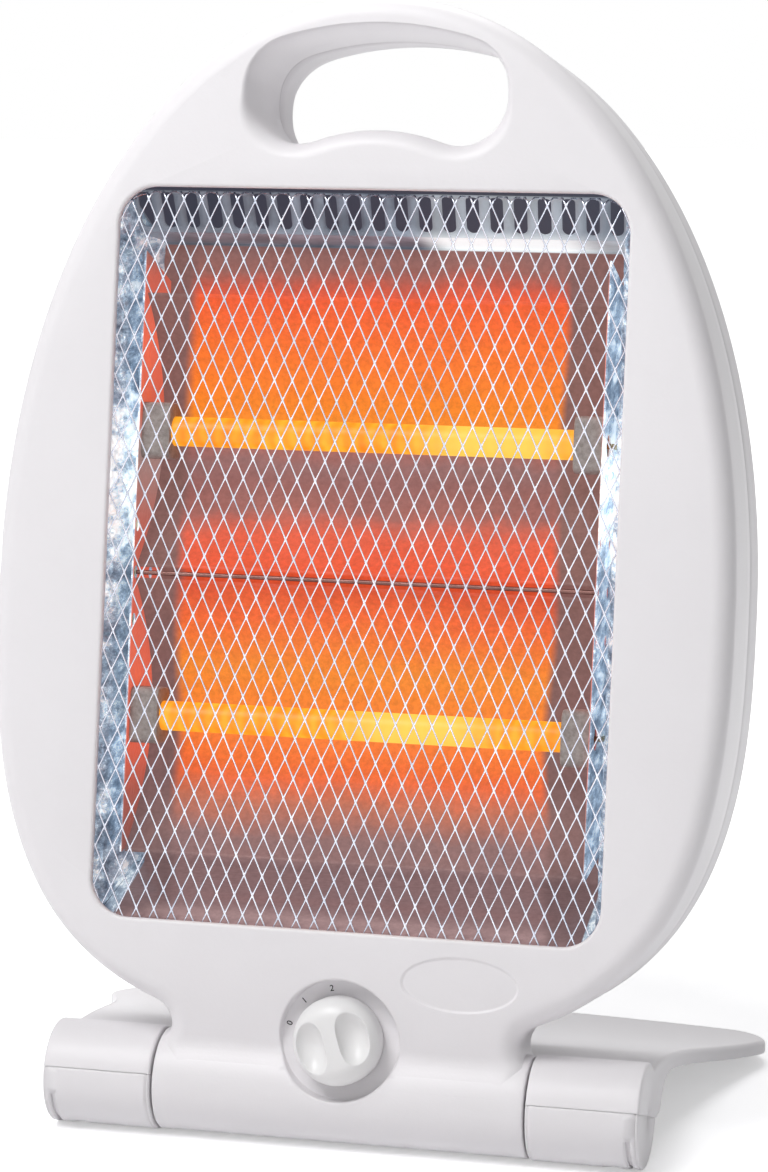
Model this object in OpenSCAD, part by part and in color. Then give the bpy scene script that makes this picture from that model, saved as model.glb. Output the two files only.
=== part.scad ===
// Two-tube quartz heater: an egg-shaped head that tilts on the barrel of a flat foot.
// World frame: X to the viewer's right, front towards -Y, floor at Z = 0.
// The head is drawn upright around the hinge axis (Y back, Z up) and then leant back.

/* [Head shell] */
// Half of the head's greatest width
head_half = 126; // [118:1:135]
// Height of the widest place above the hinge axis
head_mid_z = 165; // [155:1:175]
// Reach of the head below its widest place
head_below = 146; // [138:1:150]
// Roundness of the upper half, 2 is an ellipse
head_top_power = 2.08; // [2:0.02:2.4]
// Roundness of the lower half
head_low_power = 2.8; // [2.4:0.1:3.2]
// Distance of the front face before the hinge axis
face_front = 20; // [18.5:0.5:23]
// Distance of the shell seam behind the hinge axis
seam_back = 16; // [14:0.5:18]
// Distance of the rear face behind the hinge axis
rear_back = 45; // [42:0.5:50]
// Wall of both shells
wall = 2.5; // [2:0.1:3]
// Rounding of the front edge
front_round = 7; // [5:0.5:8]
// Rounding of the rear edge
rear_round = 11; // [8:0.5:12]
// How far the face sinks back at the dial
face_dip = 6.5; // [4:0.5:7]
// Height where the face starts to sink back
face_dip_z = 62; // [56:1:70]
// Half width of the neck above the barrel
neck_half = 60; // [56:0.5:61]
// Height of the neck above the hinge axis
neck_h = 34; // [30:1:38]
// Depth of the neck behind the hinge axis
neck_back = 10; // [8:0.5:10.5]

/* [Lean] */
// Lean of the head in use, back from upright
lean = 10; // [4:0.5:14]

/* [Front opening] */
// Width of the opening for the grille
opening_w = 174; // [166:1:178]
// Lower edge of the opening above the hinge axis
opening_low = 55.5; // [53:0.5:60]
// Height of the opening
opening_h = 245; // [235:1:247]
// Rounding of the opening's corners
opening_round = 13; // [8:0.5:18]

/* [Handle] */
// Half width of the hand hole
hand_half = 43; // [41:0.5:46]
// Radius of the hand hole's ends
hand_end_r = 15.5; // [14:0.5:16.5]
// Height of the hand hole's ends above the opening
hand_over = 31.5; // [30:0.5:34]
// Height of the head above the hand hole's ends
head_over = 33; // [31:0.5:37]
// Rise of the hand hole's top above its ends' centres
hand_rise = 22; // [18:0.5:23]
// Rise of the hand hole's lower edge below its ends' centres
hand_sill = 11; // [9.5:0.5:12]
// Flare of the hand hole at the front
hand_flare = 3.5; // [3:0.5:6]

/* [Dial and knob] */
// Height of the dial above the hinge axis
dial_z = 19; // [17:0.5:21]
// Radius of the dial's recess
dial_r = 20.3; // [18:0.1:22]
// Distance of the dial's floor before the hinge axis
dial_front = 11.2; // [10.8:0.1:11.6]
// Radius of the knob
knob_r = 14.8; // [12:0.1:16]
// Height of the knob above the dial
knob_h = 13; // [10:0.5:15]
// Height of the knob's straight side
knob_skirt = 6; // [4:0.5:8]
// Thickness of the knob's grip ridge at its crest
grip_w = 5; // [4:0.5:7]
// Angle of the knob's pointer left of the upright at the highest setting
knob_angle = 10; // [6:1:14]
// Half width of a finger dish in the knob
dish_r = 5.2; // [4:0.1:5.6]
// Length of a finger dish in the knob
dish_len = 19; // [14:0.5:20]
// Radius of the switch shaft
shaft_r = 3; // [2.5:0.1:3.5]

/* [Badge field] */
// Distance of the oval field right of the middle
badge_x = 41; // [36:1:45]
// Height of the oval field above the hinge axis
badge_z = 40.5; // [38:0.5:42]
// Width of the oval field
badge_w = 39; // [30:1:44]
// Height of the oval field
badge_h = 18; // [12:1:20]
// Depth of the bare oval field
badge_deep = 0.6; // [0.3:0.1:1]

/* [Grille] */
// Gap between the grille's tray and the opening
grille_gap = 2.6; // [1.5:0.1:3.5]
// Sideways pitch of the net
net_pitch_x = 12.4; // [11.5:0.1:18]
// Upright pitch of the net
net_pitch_z = 26.4; // [24:0.2:36]
// Width of a strand of the net
strand_w = 1.1; // [0.8:0.1:1.6]
// Thickness of the grille's sheet
grille_t = 0.8; // [0.6:0.1:1.2]
// Reach of the grille's tabs over the reflector tray
tab_reach = 7; // [5:0.5:9]

/* [Reflectors] */
// Thickness of the reflector sheets
sheet = 0.8; // [0.6:0.1:1]
// Distance of the tray's front edge before the hinge axis
tray_front = 12.5; // [11:0.5:13.5]
// Distance of the tray's floor behind the hinge axis
tray_back = 17; // [15:0.5:19]
// Clearance between the opening and the tray's mouth, each side
tray_mouth_gap = 1; // [0.5:0.1:2]
// How far the tray's side walls draw in towards its floor
tray_side_draw = 3; // [2:0.5:4]
// How far the tray's top and bottom walls draw in towards its floor
tray_top_draw = 20; // [12:1:24]
// Pitch of the tray's vent slots
slot_pitch = 6.8; // [6:0.1:8]
// Width of a vent slot
slot_w = 3.2; // [2.4:0.1:3.6]
// Distance of the end plates from the middle
end_plate_x = 80; // [78:0.5:81]
// Height of the opening that both troughs leave free
trough_margin = 56.6; // [50:0.1:64]
// Gap between the two troughs
trough_gap = 4.4; // [3:0.1:6]
// Depth of each trough
trough_deep = 24; // [20:1:26]

/* [Quartz tubes] */
// Radius of a quartz tube
tube_r = 5; // [4:0.1:5.5]
// Wall of a quartz tube
tube_wall = 1; // [0.8:0.1:1.2]
// Distance of the tubes' middle below the opening's middle
tubes_low = 6.9; // [4:0.1:8]
// Free length of a tube between its holders
tube_free = 138.5; // [136:0.5:142]
// Distance of the tubes before the hinge axis
tube_front = 3; // [1:0.5:4]
// Radius of the heating winding inside a tube
winding_r = 2.6; // [2:0.1:3]

/* [Barrel and hinge] */
// Radius of the barrel along the foot
barrel_r = 17.5; // [17:0.5:19]
// Half of the barrel's whole length
barrel_half = 102; // [98:0.5:104]
// Half length of the head's share of the barrel
core_half = 63.6; // [62:0.2:66]
// Gap between the head's barrel and the foot's
barrel_gap = 0.8; // [0.5:0.1:1.2]
// How much the head's barrel is thinner than the foot's, so it clears the floor
core_less = 0.4; // [0.2:0.1:0.8]
// Radius of the hinge tube
pivot_r = 7; // [6:0.1:8]
// Wall of the hinge tube
pivot_wall = 1.5; // [1:0.1:2]
// Running clearance of the hinge tube in its bushes
pivot_play = 0.05; // [0.02:0.01:0.09]
// Radius of a hinge bush
bush_r = 10; // [9.5:0.1:11]

/* [Foot plate] */
// Distance of the plate's rear edge behind the hinge axis
foot_back = 144; // [138:1:152]
// Half width of the plate at its rear
foot_half = 124; // [116:1:126]
// Height of the plate's top where it leaves the barrel
foot_front_z = 30; // [28:0.5:31]
// Height of the plate's top at the rear edge
foot_rear_z = 7; // [6:0.5:9]
// Skin of the foot moulding
foot_wall = 2.6; // [2:0.1:3]
// Depth of the plate's skirt
skirt_h = 6; // [5:0.5:6.5]
// Radius of the plate's rear corners
foot_corner = 18; // [12:1:26]
// Bow of the plate's rear edge
foot_bow = 8; // [2:1:12]
// Tilt of the parting plane of the foot's barrel, front edge up
parting_tilt = 20; // [12:1:24]
// Thickness of the rubber pads below the plate's skirt
pad_t = 1.8; // [1.5:0.1:2.5]

/* [Fasteners] */
// Radius of a screw's shank
screw_r = 1.5; // [1.2:0.1:1.7]
// Radius of a screw's head
screw_head_r = 3.2; // [2.8:0.1:3.6]
// Height of a screw's head
screw_head_h = 2; // [1.6:0.1:2.4]
// Radius of a screw boss
boss_r = 4.2; // [4:0.1:4.6]

/* [Inlet] */
// Radius of the cord hole in the rear shell
inlet_r = 5; // [4:0.1:6]
// Radius of the bore through the inlet grommet
cord_r = 3.4; // [2.8:0.1:3.8]

/* [Hidden] */

$fn = 48;
// Overlap of a cut past the face it opens
over = 1;
// Overlap where two pieces of one moulding merge
merge = 0.5;
// Shortens a round end so a slot keeps a straight run
eps = 0.01;

// Colours as the photo shows them
white = "#e6e3e7";
white_low = "#dcd9de";
chrome = "#d9dce2";
alu = "#b9bec6";
steel = "#a9adb3";
quartz = "#ffd9a0";
glow = "#ffb14a";
ceramic = "#8f8d8a";
nylon = "#efe9d6";
rubber = "#3a3a3c";
bakelite = "#4b3a33";
lead_grey = "#8a8f98";
lead_tan = "#c8b48c";

// Steps round the head's outline, along an arc and along an edge round
outline_steps = 72;
arc_steps = 12;
corner_steps = 6;
oval_steps = 48;
quarter = [for (i = [0 : 5]) 18 * i];

// Places in the head, measured from the hinge axis: Y back, Z up
inner_front = face_front - wall;
opening_mid_z = opening_low + opening_h / 2;
opening_half = opening_w / 2;
hand_z = opening_low + opening_h + hand_over;
head_above = hand_z + head_over - head_mid_z;
tube_mid_z = opening_mid_z - tubes_low;
tube_pitch = (opening_h - trough_margin + trough_gap) / 2;
trough_h = tube_pitch - trough_gap;
upper_tube_z = tube_mid_z + tube_pitch / 2;
lower_tube_z = tube_mid_z - tube_pitch / 2;
tube_y = -tube_front;
core_r = barrel_r - core_less;
rear_dip_z = 78;
rear_dip = 14;
split_z = 26;
knob_round = knob_h - knob_skirt;
knob_reach = knob_round + (dial_front + knob_skirt) * cos(lean)
  + (knob_r - knob_round - dial_z) * sin(lean);
world_shift = (foot_back - knob_reach) / 2;

// Screws of the shells and of the reflector tray
shell_screw_places = [
  for (side = [-1, 1])
    each [[side * 78, 50], [side * 111, 130], [side * 100, hand_z - 77], [side * 64, hand_z - 10]]
];
boss_joint_y = seam_back - 2;
screw_ledge_y = seam_back + 8;
shell_screw_len = 14;
tray_boss_r = 3.5;
tray_tap_r = 1.3;
tray_screw_tip = 3.5;
tray_screw_x = opening_half + 7;
tray_screw_rise = opening_h / 4 - 1.25;

// Grille: its sheet lies behind the shell's inner face, its rim ends at the tray
grille_w = opening_w - 2 * grille_gap;
grille_h = opening_h - 2 * grille_gap;
net_y = -inner_front - 0.5;
strand_count = ceil((grille_w / net_pitch_x + grille_h / net_pitch_z) / 2);
tab_rise = 38;
tab_h = 12;

// Reflector tray
tray_mouth_w = opening_w - 2 * tray_mouth_gap;
tray_mouth_h = opening_h - 2 * tray_mouth_gap;
tray_depth = tray_front + tray_back;
tray_floor_y = tray_back - sheet;
tray_lip = 12;
tray_lip_rise = tray_screw_rise + 10;
slot_margin = 15;
slot_from = 8;
slot_len = 16;
slot_count = floor((opening_w - 2 * slot_margin) / slot_pitch);

// Troughs and end plates
trough_steps = 24;
trough_play = 1.2;
plate_in_x = end_plate_x - sheet;
plate_margin = 21;
plate_low = opening_low + plate_margin;
plate_high = opening_low + opening_h - plate_margin;
plate_foot = 8;
plate_slope = 8;
plate_front = tray_front - 1;
plate_hole_r = 2.2;
rivet_r = 1.3;
rivet_head_r = 2.4;
rivet_head_h = 0.9;
rivet_x = plate_in_x - plate_foot / 2;
rivet_rise = tube_pitch - 12.4;
guard_r = 1;
guard_y = -tray_front + 4;

// Tubes, their windings and holders
holder_w = plate_in_x - tube_free / 2;
holder_h = 19;
holder_deep = 13;
holder_round = 2.5;
tube_in = 6;
tube_half = tube_free / 2 + tube_in;
winding_margin = 4;
pin_r = 1;
pin_out = 0.5;
plate_tube_r = tube_r - 1;

// Heat shield and the thermal cut-out on it
shield_y = tray_back + 9;
shield_half = 76;
shield_low = opening_low + 44.5;
shield_h = opening_h - 75;
shield_post_r = 3;
shield_post_x = 60;
shield_post_zs = [shield_low + 40, shield_low + shield_h - 20];
shield_tap_r = 1.3;
shield_head_r = 2.5;
cutout_z = shield_low + shield_h - 15;
cutout_r = 7;
cutout_h = 5;
cutout_strap = [24, 1.2, 8];

// Tip-over switch on two posts behind the front face
tip_x = 38;
tip_z = 37;
tip_size = [20, 16, 17];
tip_y = -10;
tip_post_dx = 6;
post_r = 2.4;
post_pin_r = 1.4;
post_pin = 4;

// Terminal block on two posts of the rear shell
block_x = -38;
block_z = 68;
block_size = [40, 14, 16];
block_y = 18;
block_post_dx = 10;
block_ways = 4;
block_pitch = 10;
block_way_r = 2.2;

// Rotary switch behind the dial
switch_y = -dial_front + wall;
switch_size = [26, 15, 21];
switch_low = -6.5;
switch_screw_x = 9;
switch_screw_len = 7;
switch_head_r = 2.4;
switch_head_h = 1.2;
collar_r = shaft_r + 1.6;
nut_r = shaft_r + 3.2;
nut_h = 1.6;
shaft_play = 0.06;
shaft_out = 8;
shaft_in = 12;
shaft_flat = 1;

// Knob
knob_gap = 0.6;
knob_wall = 1.8;
knob_hollow = 2.6;
hub_deep = 2;

// Inlet in the rear shell
inlet_x = -70;
inlet_z = 92;
flange_w = 2.5;
flange_t = 2;
grommet_in = 6;

// Leads
lead_r = 0.9;
lead_joint = 1.15;
lead_x = end_plate_x + pin_out + lead_r;
lead_hole_r = 1.3;
upper_run_y = tray_back + 7;
lower_run_y = tray_back + 3;

// Hinge
wall_x = core_half + barrel_gap;
bush_x = wall_x + foot_wall + 2;
bush_len = 16;
bush_end = bush_x + bush_len;
pivot_half = bush_end + 1;
pivot_pass = 1;
washer_w = 2.4;
washer_play = 0.05;

// Foot, measured from the hinge axis
end_x = barrel_half - foot_wall;
hollow_r = barrel_r - foot_wall;
slope_from = 5;
plate_start = 10;
plate_steps = 24;
floor_z = -barrel_r;
bay_y = barrel_r + 4;
gusset_r = 13;
gusset_y = barrel_r + 6 + gusset_r;
skirt_less = 1.5;
flare_steps = 10;
flare_power = 2.2;
corner_turn = 75;
neck_y = 8;
core_clear_r = barrel_r + 1.4;
rib_t = 3;
rib_xs = [-75, -45, -15, 15, 45, 75];
bush_rib_in = 2;
cover_screw_x = 92;
cover_boss_r = 5;
cover_seat = 4;
cover_bite = 9;
slit_w = 1.5;
slit_z = -3.3;
pad_r = 7;
pad_boss_r = 9;
pad_x = foot_half - 30;
pad_y = foot_back - 20;

// ---- helpers -------------------------------------------------------------------------------

// Puts upright head geometry where it is in use
module in_head() {
  translate([0, -world_shift, barrel_r]) rotate([-lean, 0, 0]) children();
}

// Puts foot geometry, drawn from the hinge axis, on the floor
module in_foot() {
  translate([0, -world_shift, barrel_r]) children();
}

// Mirrors right-hand geometry to the given side
module at_side(side) {
  mirror([side < 0 ? 1 : 0, 0, 0]) children();
}

// Same geometry on both sides
module both_sides() {
  for (side = [-1, 1]) at_side(side) children();
}

// Moves to a place given as [X, Z]
module at(place) {
  translate([place[0], 0, place[1]]) children();
}

// Extrudes a side profile given as [Y, Z] between two X places
module across(x_from, x_to) {
  translate([x_from, 0, 0]) rotate([90, 0, 90]) linear_extrude(x_to - x_from) children();
}

// Extrudes a front view given as [X, Z] between two Y places
module deep(y_from, y_to) {
  translate([0, y_to, 0]) rotate([90, 0, 0]) linear_extrude(y_to - y_from) children();
}

// Cylinder along Y
module rod_y(r, y_from, y_to) {
  translate([0, y_to, 0]) rotate([90, 0, 0]) cylinder(r = r, h = y_to - y_from);
}

// Cylinder along X
module rod_x(r, x_from, x_to) {
  translate([x_from, 0, 0]) rotate([0, 90, 0]) cylinder(r = r, h = x_to - x_from);
}

// Closed solid through rings of equal point counts, each one behind the one before
module skin(rings) {
  n = len(rings[0]);
  m = len(rings);
  sides = [
    for (i = [0 : m - 2], j = [0 : n - 1])
      let (a = i * n + j, b = i * n + (j + 1) % n)
        each [[a, b + n, a + n], [a, b, b + n]]
  ];
  front = [[for (j = [0 : n - 1]) n - 1 - j]];
  back = [[for (j = [0 : n - 1]) (m - 1) * n + j]];
  polyhedron([for (ring = rings) each ring], concat(front, sides, back));
}

// Points of an arc round [x, z]
function arc(x, z, r, from, to, steps = arc_steps) = [
  for (i = [0 : steps]) let (a = from + (to - from) * i / steps) [x + r * cos(a), z + r * sin(a)]
];

// Outline of a rectangle with round corners, its lower left corner at [x, z]
function rounded(x, z, w, h, r) = concat(
  arc(x + w - r, z + h - r, r, 0, 90, corner_steps), arc(x + r, z + h - r, r, 90, 180, corner_steps),
  arc(x + r, z + r, r, 180, 270, corner_steps), arc(x + w - r, z + r, r, 270, 360, corner_steps)
);

// Outline of an ellipse round [x, z]
function oval(x, z, w, h) = [
  for (i = [0 : oval_steps - 1]) let (a = 360 * i / oval_steps) [x + w / 2 * cos(a), z + h / 2 * sin(a)]
];

// ---- the head's outline ----------------------------------------------------------------------

function power(c, n) = sign(c) * pow(abs(c), 2 / n);

// Point of the egg outline at angle a, drawn in by inset
function egg_point(a, inset) =
  let (low = sin(a) < 0, n = low ? head_low_power : head_top_power, b = low ? head_below : head_above)
    [(head_half - inset) * power(cos(a), n), head_mid_z + (b - inset) * power(sin(a), n)];

function egg_outline(inset) = [
  for (i = [0 : outline_steps - 1]) egg_point(360 * i / outline_steps, inset)
];

// Sink of the front face towards the dial and of the rear face towards the neck
function face_sink(z) =
  z < face_dip_z ? face_dip * pow((face_dip_z - z) / (face_dip_z - dial_z), 2) : 0;
function rear_sink(z) = z < rear_dip_z ? rear_dip * pow((rear_dip_z - z) / rear_dip_z, 2) : 0;

// Outline ring of the egg at y, sunk by the given shares of the front and rear sink
function egg_ring(y, inset, front = 0, rear = 0) = [
  for (p = egg_outline(inset)) [p[0], y + front * face_sink(p[1]) - rear * rear_sink(p[1]), p[1]]
];

// ---- solids both shells are cut from -----------------------------------------------------------

// Insets of the rings that fill the front or rear face, from the middle outwards
face_insets = [70, 52, 38, 28, 20, 14];

// Front of the egg up to the place y_to, drawn in by inset all round
module egg_front(inset, y_to) {
  r = front_round - inset;
  face_y = -face_front + inset;
  skin(concat(
    [for (i = face_insets) egg_ring(face_y, i + inset, 1)],
    [for (u = quarter) egg_ring(face_y + r * (1 - cos(u)), inset + r * (1 - sin(u)), 1)],
    [egg_ring(y_to, inset)]
  ));
}

// Rear of the egg from the place y_from, drawn in by inset all round
module egg_rear(inset, y_from) {
  r = rear_round - inset;
  face_y = rear_back - inset;
  skin(concat(
    [egg_ring(y_from, inset)],
    [for (u = quarter) egg_ring(face_y - r + r * sin(u), inset + r * (1 - cos(u)), 0, 1)],
    [for (i = [len(face_insets) - 1 : -1 : 0]) egg_ring(face_y, face_insets[i] + inset, 0, 1)]
  ));
}

// Side profile between the hinge plane and the front face, lowered by inset
neck_low = 4;
face_step = 3;
function face_profile(top, inset) = concat(
  [for (z = [top : -face_step : neck_low]) [-face_front + inset + face_sink(z), z]],
  [[0, neck_low], [0, top]]
);

// Half of the barrel's middle, before the hinge plane at side -1 and behind it at side 1
module core_half_barrel(inset, side) {
  intersection() {
    rod_x(core_r - inset, -core_half + inset, core_half - inset);
    translate([-core_half, side < 0 ? -2 * core_r : 0, -core_r])
      cube([2 * core_half, 2 * core_r, 2 * core_r]);
  }
}

// Front half of the neck and of the barrel's middle
module core_front(inset) {
  across(-neck_half + inset, neck_half - inset) polygon(face_profile(neck_h, inset));
  core_half_barrel(inset, -1);
}

// Rear half of the neck and of the barrel's middle
module core_rear(inset) {
  translate([-neck_half + inset, 0, 0])
    cube([2 * (neck_half - inset), neck_back - inset, neck_h - inset]);
  core_half_barrel(inset, 1);
}

// ---- hand hole ----------------------------------------------------------------------------------

hand_end_x = hand_half - hand_end_r;
hand_top_r =
  (pow(hand_end_x, 2) + pow(hand_rise, 2) - pow(hand_end_r, 2)) / (2 * (hand_rise - hand_end_r));
hand_sill_r =
  (pow(hand_end_x, 2) + pow(hand_sill, 2) - pow(hand_end_r, 2)) / (2 * (hand_end_r - hand_sill));
hand_top_a = atan2(hand_top_r - hand_rise, hand_end_x);
hand_sill_a = atan2(hand_sill_r + hand_sill, hand_end_x);
// Angles left out where the arcs meet, at the top and at the sill
top_join = 12;
sill_join = 4;
hand_ease = 2.5;

// Bean outline of the hand hole, widened by out
function hand_outline(out) = concat(
  arc(hand_end_x, hand_z, hand_end_r + out, hand_sill_a - 180, hand_top_a - top_join),
  arc(0, hand_z + hand_rise - hand_top_r, hand_top_r + out, hand_top_a, 180 - hand_top_a),
  arc(-hand_end_x, hand_z, hand_end_r + out, 180 + top_join - hand_top_a, 360 - hand_sill_a),
  arc(0, hand_z - hand_sill - hand_sill_r, hand_sill_r - out,
      180 - sill_join - hand_sill_a, hand_sill_a + sill_join)
);

function hand_ring(y, out) = [for (p = hand_outline(out)) [p[0], y, p[1]]];

// Space of the hand hole, flared at the front and eased at the rear
module hand_space() {
  skin(concat(
    [hand_ring(-face_front - over, hand_flare)],
    [for (u = quarter)
      hand_ring(-face_front + hand_flare * (1 - cos(u)), hand_flare * (1 - sin(u)))],
    [for (u = quarter) hand_ring(rear_back - hand_ease * (1 - sin(u)), hand_ease * (1 - cos(u)))],
    [hand_ring(rear_back + over, hand_ease)]
  ));
}

// ---- shells ----------------------------------------------------------------------------------------

module at_shell_screws() {
  for (place = shell_screw_places) at(place) children();
}

module at_tray_screws() {
  both_sides() for (rise = [-tray_screw_rise, tray_screw_rise])
    at([tray_screw_x, opening_mid_z + rise]) children();
}

// Cup behind the dial's recess, kept behind the front face
cup_top = 44;
module dial_cup() {
  intersection() {
    at([0, dial_z]) rod_y(dial_r + wall, -face_front, switch_y);
    union() {
      across(-neck_half, neck_half) polygon(face_profile(cup_top, 0));
      core_half_barrel(0, -1);
    }
  }
}

// Space of the bare oval field, pressed into the sunk face
module badge_space() {
  intersection() {
    deep(-face_front - over, -dial_front) polygon(oval(badge_x, badge_z, badge_w, badge_h));
    across(0, neck_half + badge_w) polygon(concat(
      [for (z = [badge_z + badge_h : -face_step : badge_z - badge_h])
        [-face_front + badge_deep + face_sink(z), z]],
      [[-face_front - over, badge_z - badge_h], [-face_front - over, badge_z + badge_h]]
    ));
  }
}

// Two posts with pins, for a part snapped on at [x, z] at the place y
module pin_posts(place, dx, y_base, y_post, y_pin) {
  for (s = [-1, 1]) at([place[0] + s * dx, place[1]]) {
    rod_y(post_r, min(y_base, y_post), max(y_base, y_post));
    rod_y(post_pin_r, min(y_base, y_pin), max(y_base, y_pin));
  }
}

module front_shell() {
  color(white) in_head() difference() {
    union() {
      difference() {
        union() {
          egg_front(0, seam_back);
          core_front(0);
        }
        egg_front(wall, seam_back + over);
        core_front(wall);
        translate([-neck_half - over, 0, -barrel_r])
          cube([2 * (neck_half + over), seam_back + over, split_z + barrel_r]);
      }
      intersection() {
        deep(-inner_front - over, seam_back) polygon(hand_outline(wall));
        egg_front(0, seam_back);
      }
      dial_cup();
      at_shell_screws() rod_y(boss_r, -inner_front - merge, boss_joint_y);
      at_tray_screws() rod_y(tray_boss_r, -inner_front - merge, -tray_front);
      pin_posts([tip_x, tip_z], tip_post_dx, -inner_front + face_sink(tip_z) - merge, tip_y,
                tip_y + post_pin);
    }
    hand_space();
    deep(-face_front - over, 0)
      polygon(rounded(-opening_half, opening_low, opening_w, opening_h, opening_round));
    at([0, dial_z]) rod_y(dial_r, -2 * face_front, -dial_front);
    at([0, dial_z]) rod_y(collar_r, -face_front, 0);
    both_sides() at([switch_screw_x, dial_z]) rod_y(screw_r, -face_front, 0);
    badge_space();
    at_shell_screws() rod_y(screw_r, boss_joint_y - shell_screw_len - over, boss_joint_y + over);
    at_tray_screws() rod_y(tray_tap_r, -tray_front - tray_screw_tip - merge, -tray_front + over);
    rod_x(pivot_r, -core_half - over, core_half + over);
  }
}

// Vent slots of the rear shell
vent_rows = 9;
vent_cols = 5;
vent_w = 26;
vent_h = 4;
vent_pitch_x = 32;
vent_pitch_z = 12;
vent_low = 150;

module rear_shell() {
  color(white_low) in_head() difference() {
    union() {
      difference() {
        union() {
          egg_rear(0, 0);
          core_rear(0);
        }
        egg_rear(wall, -over);
        core_rear(wall);
        translate([-head_half - over, -over, split_z])
          cube([2 * (head_half + over), seam_back + over, head_mid_z + head_above]);
      }
      intersection() {
        deep(seam_back, rear_back) polygon(hand_outline(wall));
        egg_rear(0, seam_back);
      }
      intersection() {
        at_shell_screws() rod_y(boss_r + 0.8, boss_joint_y, rear_back);
        egg_rear(0, boss_joint_y);
      }
      pin_posts([block_x, block_z], block_post_dx, rear_back - wall + merge,
                block_y + block_size[1], block_y + block_size[1] - post_pin);
    }
    hand_space();
    at_shell_screws() {
      rod_y(screw_r, boss_joint_y - over, rear_back);
      rod_y(screw_head_r + 0.4, screw_ledge_y, rear_back + over);
    }
    for (i = [0 : vent_rows - 1], j = [0 : vent_cols - 1])
      deep(rear_back - wall - over, rear_back + over) polygon(rounded(
        (j - (vent_cols - 1) / 2) * vent_pitch_x - vent_w / 2, vent_low + i * vent_pitch_z,
        vent_w, vent_h, vent_h / 2 - eps
      ));
    at([inlet_x, inlet_z]) rod_y(inlet_r, rear_back - 2 * wall, rear_back + over);
    rod_x(pivot_r, -core_half - over, core_half + over);
  }
}

// ---- grille ---------------------------------------------------------------------------------------

function grille_outline(inset) = rounded(
  -grille_w / 2 + inset, opening_low + grille_gap + inset,
  grille_w - 2 * inset, grille_h - 2 * inset, opening_round - grille_gap - inset + 1
);

// One strand of the net through [x, z], rising to the given side
module strand(x, z, side) {
  translate([x, z]) rotate(atan2(side * net_pitch_z, net_pitch_x))
    square([2 * grille_h, strand_w], center = true);
}

module grille() {
  color(chrome) in_head() union() {
    deep(net_y, net_y + grille_t) intersection() {
      polygon(grille_outline(0));
      union() {
        difference() {
          polygon(grille_outline(0));
          polygon(grille_outline(strand_w));
        }
        for (side = [-1, 1], i = [-strand_count : strand_count])
          strand((i + 0.5) * net_pitch_x, opening_mid_z, side);
      }
    }
    deep(net_y, -tray_front) difference() {
      polygon(grille_outline(0));
      polygon(grille_outline(grille_t));
    }
    both_sides() for (rise = [-tab_rise, tab_rise])
      translate([grille_w / 2 - grille_t, -tray_front - grille_t, opening_mid_z + rise - tab_h / 2])
        cube([grille_t + tab_reach, grille_t, tab_h]);
  }
}

// ---- reflectors -------------------------------------------------------------------------------------

// Rectangle ring of the tray at y, drawn in by inset from its own taper
function tray_ring(y, inset) = let (
  share = (y + tray_front) / tray_depth,
  x = tray_mouth_w / 2 - inset - tray_side_draw * share,
  z = tray_mouth_h / 2 - inset - tray_top_draw * share
) [for (c = [[-1, -1], [1, -1], [1, 1], [-1, 1]]) [c[0] * x, y, opening_mid_z + c[1] * z]];

module reflector_tray() {
  color(alu) in_head() difference() {
    union() {
      skin([tray_ring(-tray_front, 0), tray_ring(tray_back, 0)]);
      deep(-tray_front, -tray_front + sheet) polygon(rounded(
        -tray_mouth_w / 2 - tray_lip, opening_mid_z - tray_lip_rise,
        tray_mouth_w + 2 * tray_lip, 2 * tray_lip_rise, tray_lip / 3
      ));
    }
    skin([tray_ring(-tray_front - over, sheet), tray_ring(tray_floor_y, sheet)]);
    for (i = [0 : slot_count - 1])
      translate([(i - (slot_count - 1) / 2) * slot_pitch, 0, opening_mid_z])
        linear_extrude(opening_h) rotate(90)
          polygon(rounded(-tray_front + slot_from, -slot_w / 2, slot_len, slot_w, slot_w / 2 - eps));
    at_tray_screws() rod_y(screw_r, -tray_front - over, 0);
    at_rivets() rod_y(rivet_r, tray_floor_y - over, tray_back + over);
    at_shield_screws() rod_y(shield_tap_r, tray_floor_y - over, tray_back + over);
    both_sides() for (z = [upper_tube_z, lower_tube_z])
      at([lead_x, z]) rod_y(lead_hole_r, 0, tray_back + over);
  }
}

// Trough profile as [Y, Z] round the tube's height: a parabola, its sheet drawn in by inset
function trough_line(inset) = [
  for (i = [0 : trough_steps])
    let (z = (trough_h / 2 - inset) * (2 * i / trough_steps - 1))
      [tray_floor_y - trough_play - inset - (trough_deep - inset) * pow(2 * z / trough_h, 2), z]
];

module trough(mid_z) {
  color(alu) in_head() at([0, mid_z]) across(-plate_in_x, plate_in_x)
    polygon(concat(trough_line(0), [for (i = [trough_steps : -1 : 0]) trough_line(sheet)[i]]));
}

module upper_reflector() trough(upper_tube_z);
module lower_reflector() trough(lower_tube_z);

module at_rivets() {
  both_sides() for (rise = [-1, 1]) at([rivet_x, tube_mid_z + rise * rivet_rise]) children();
}

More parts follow.
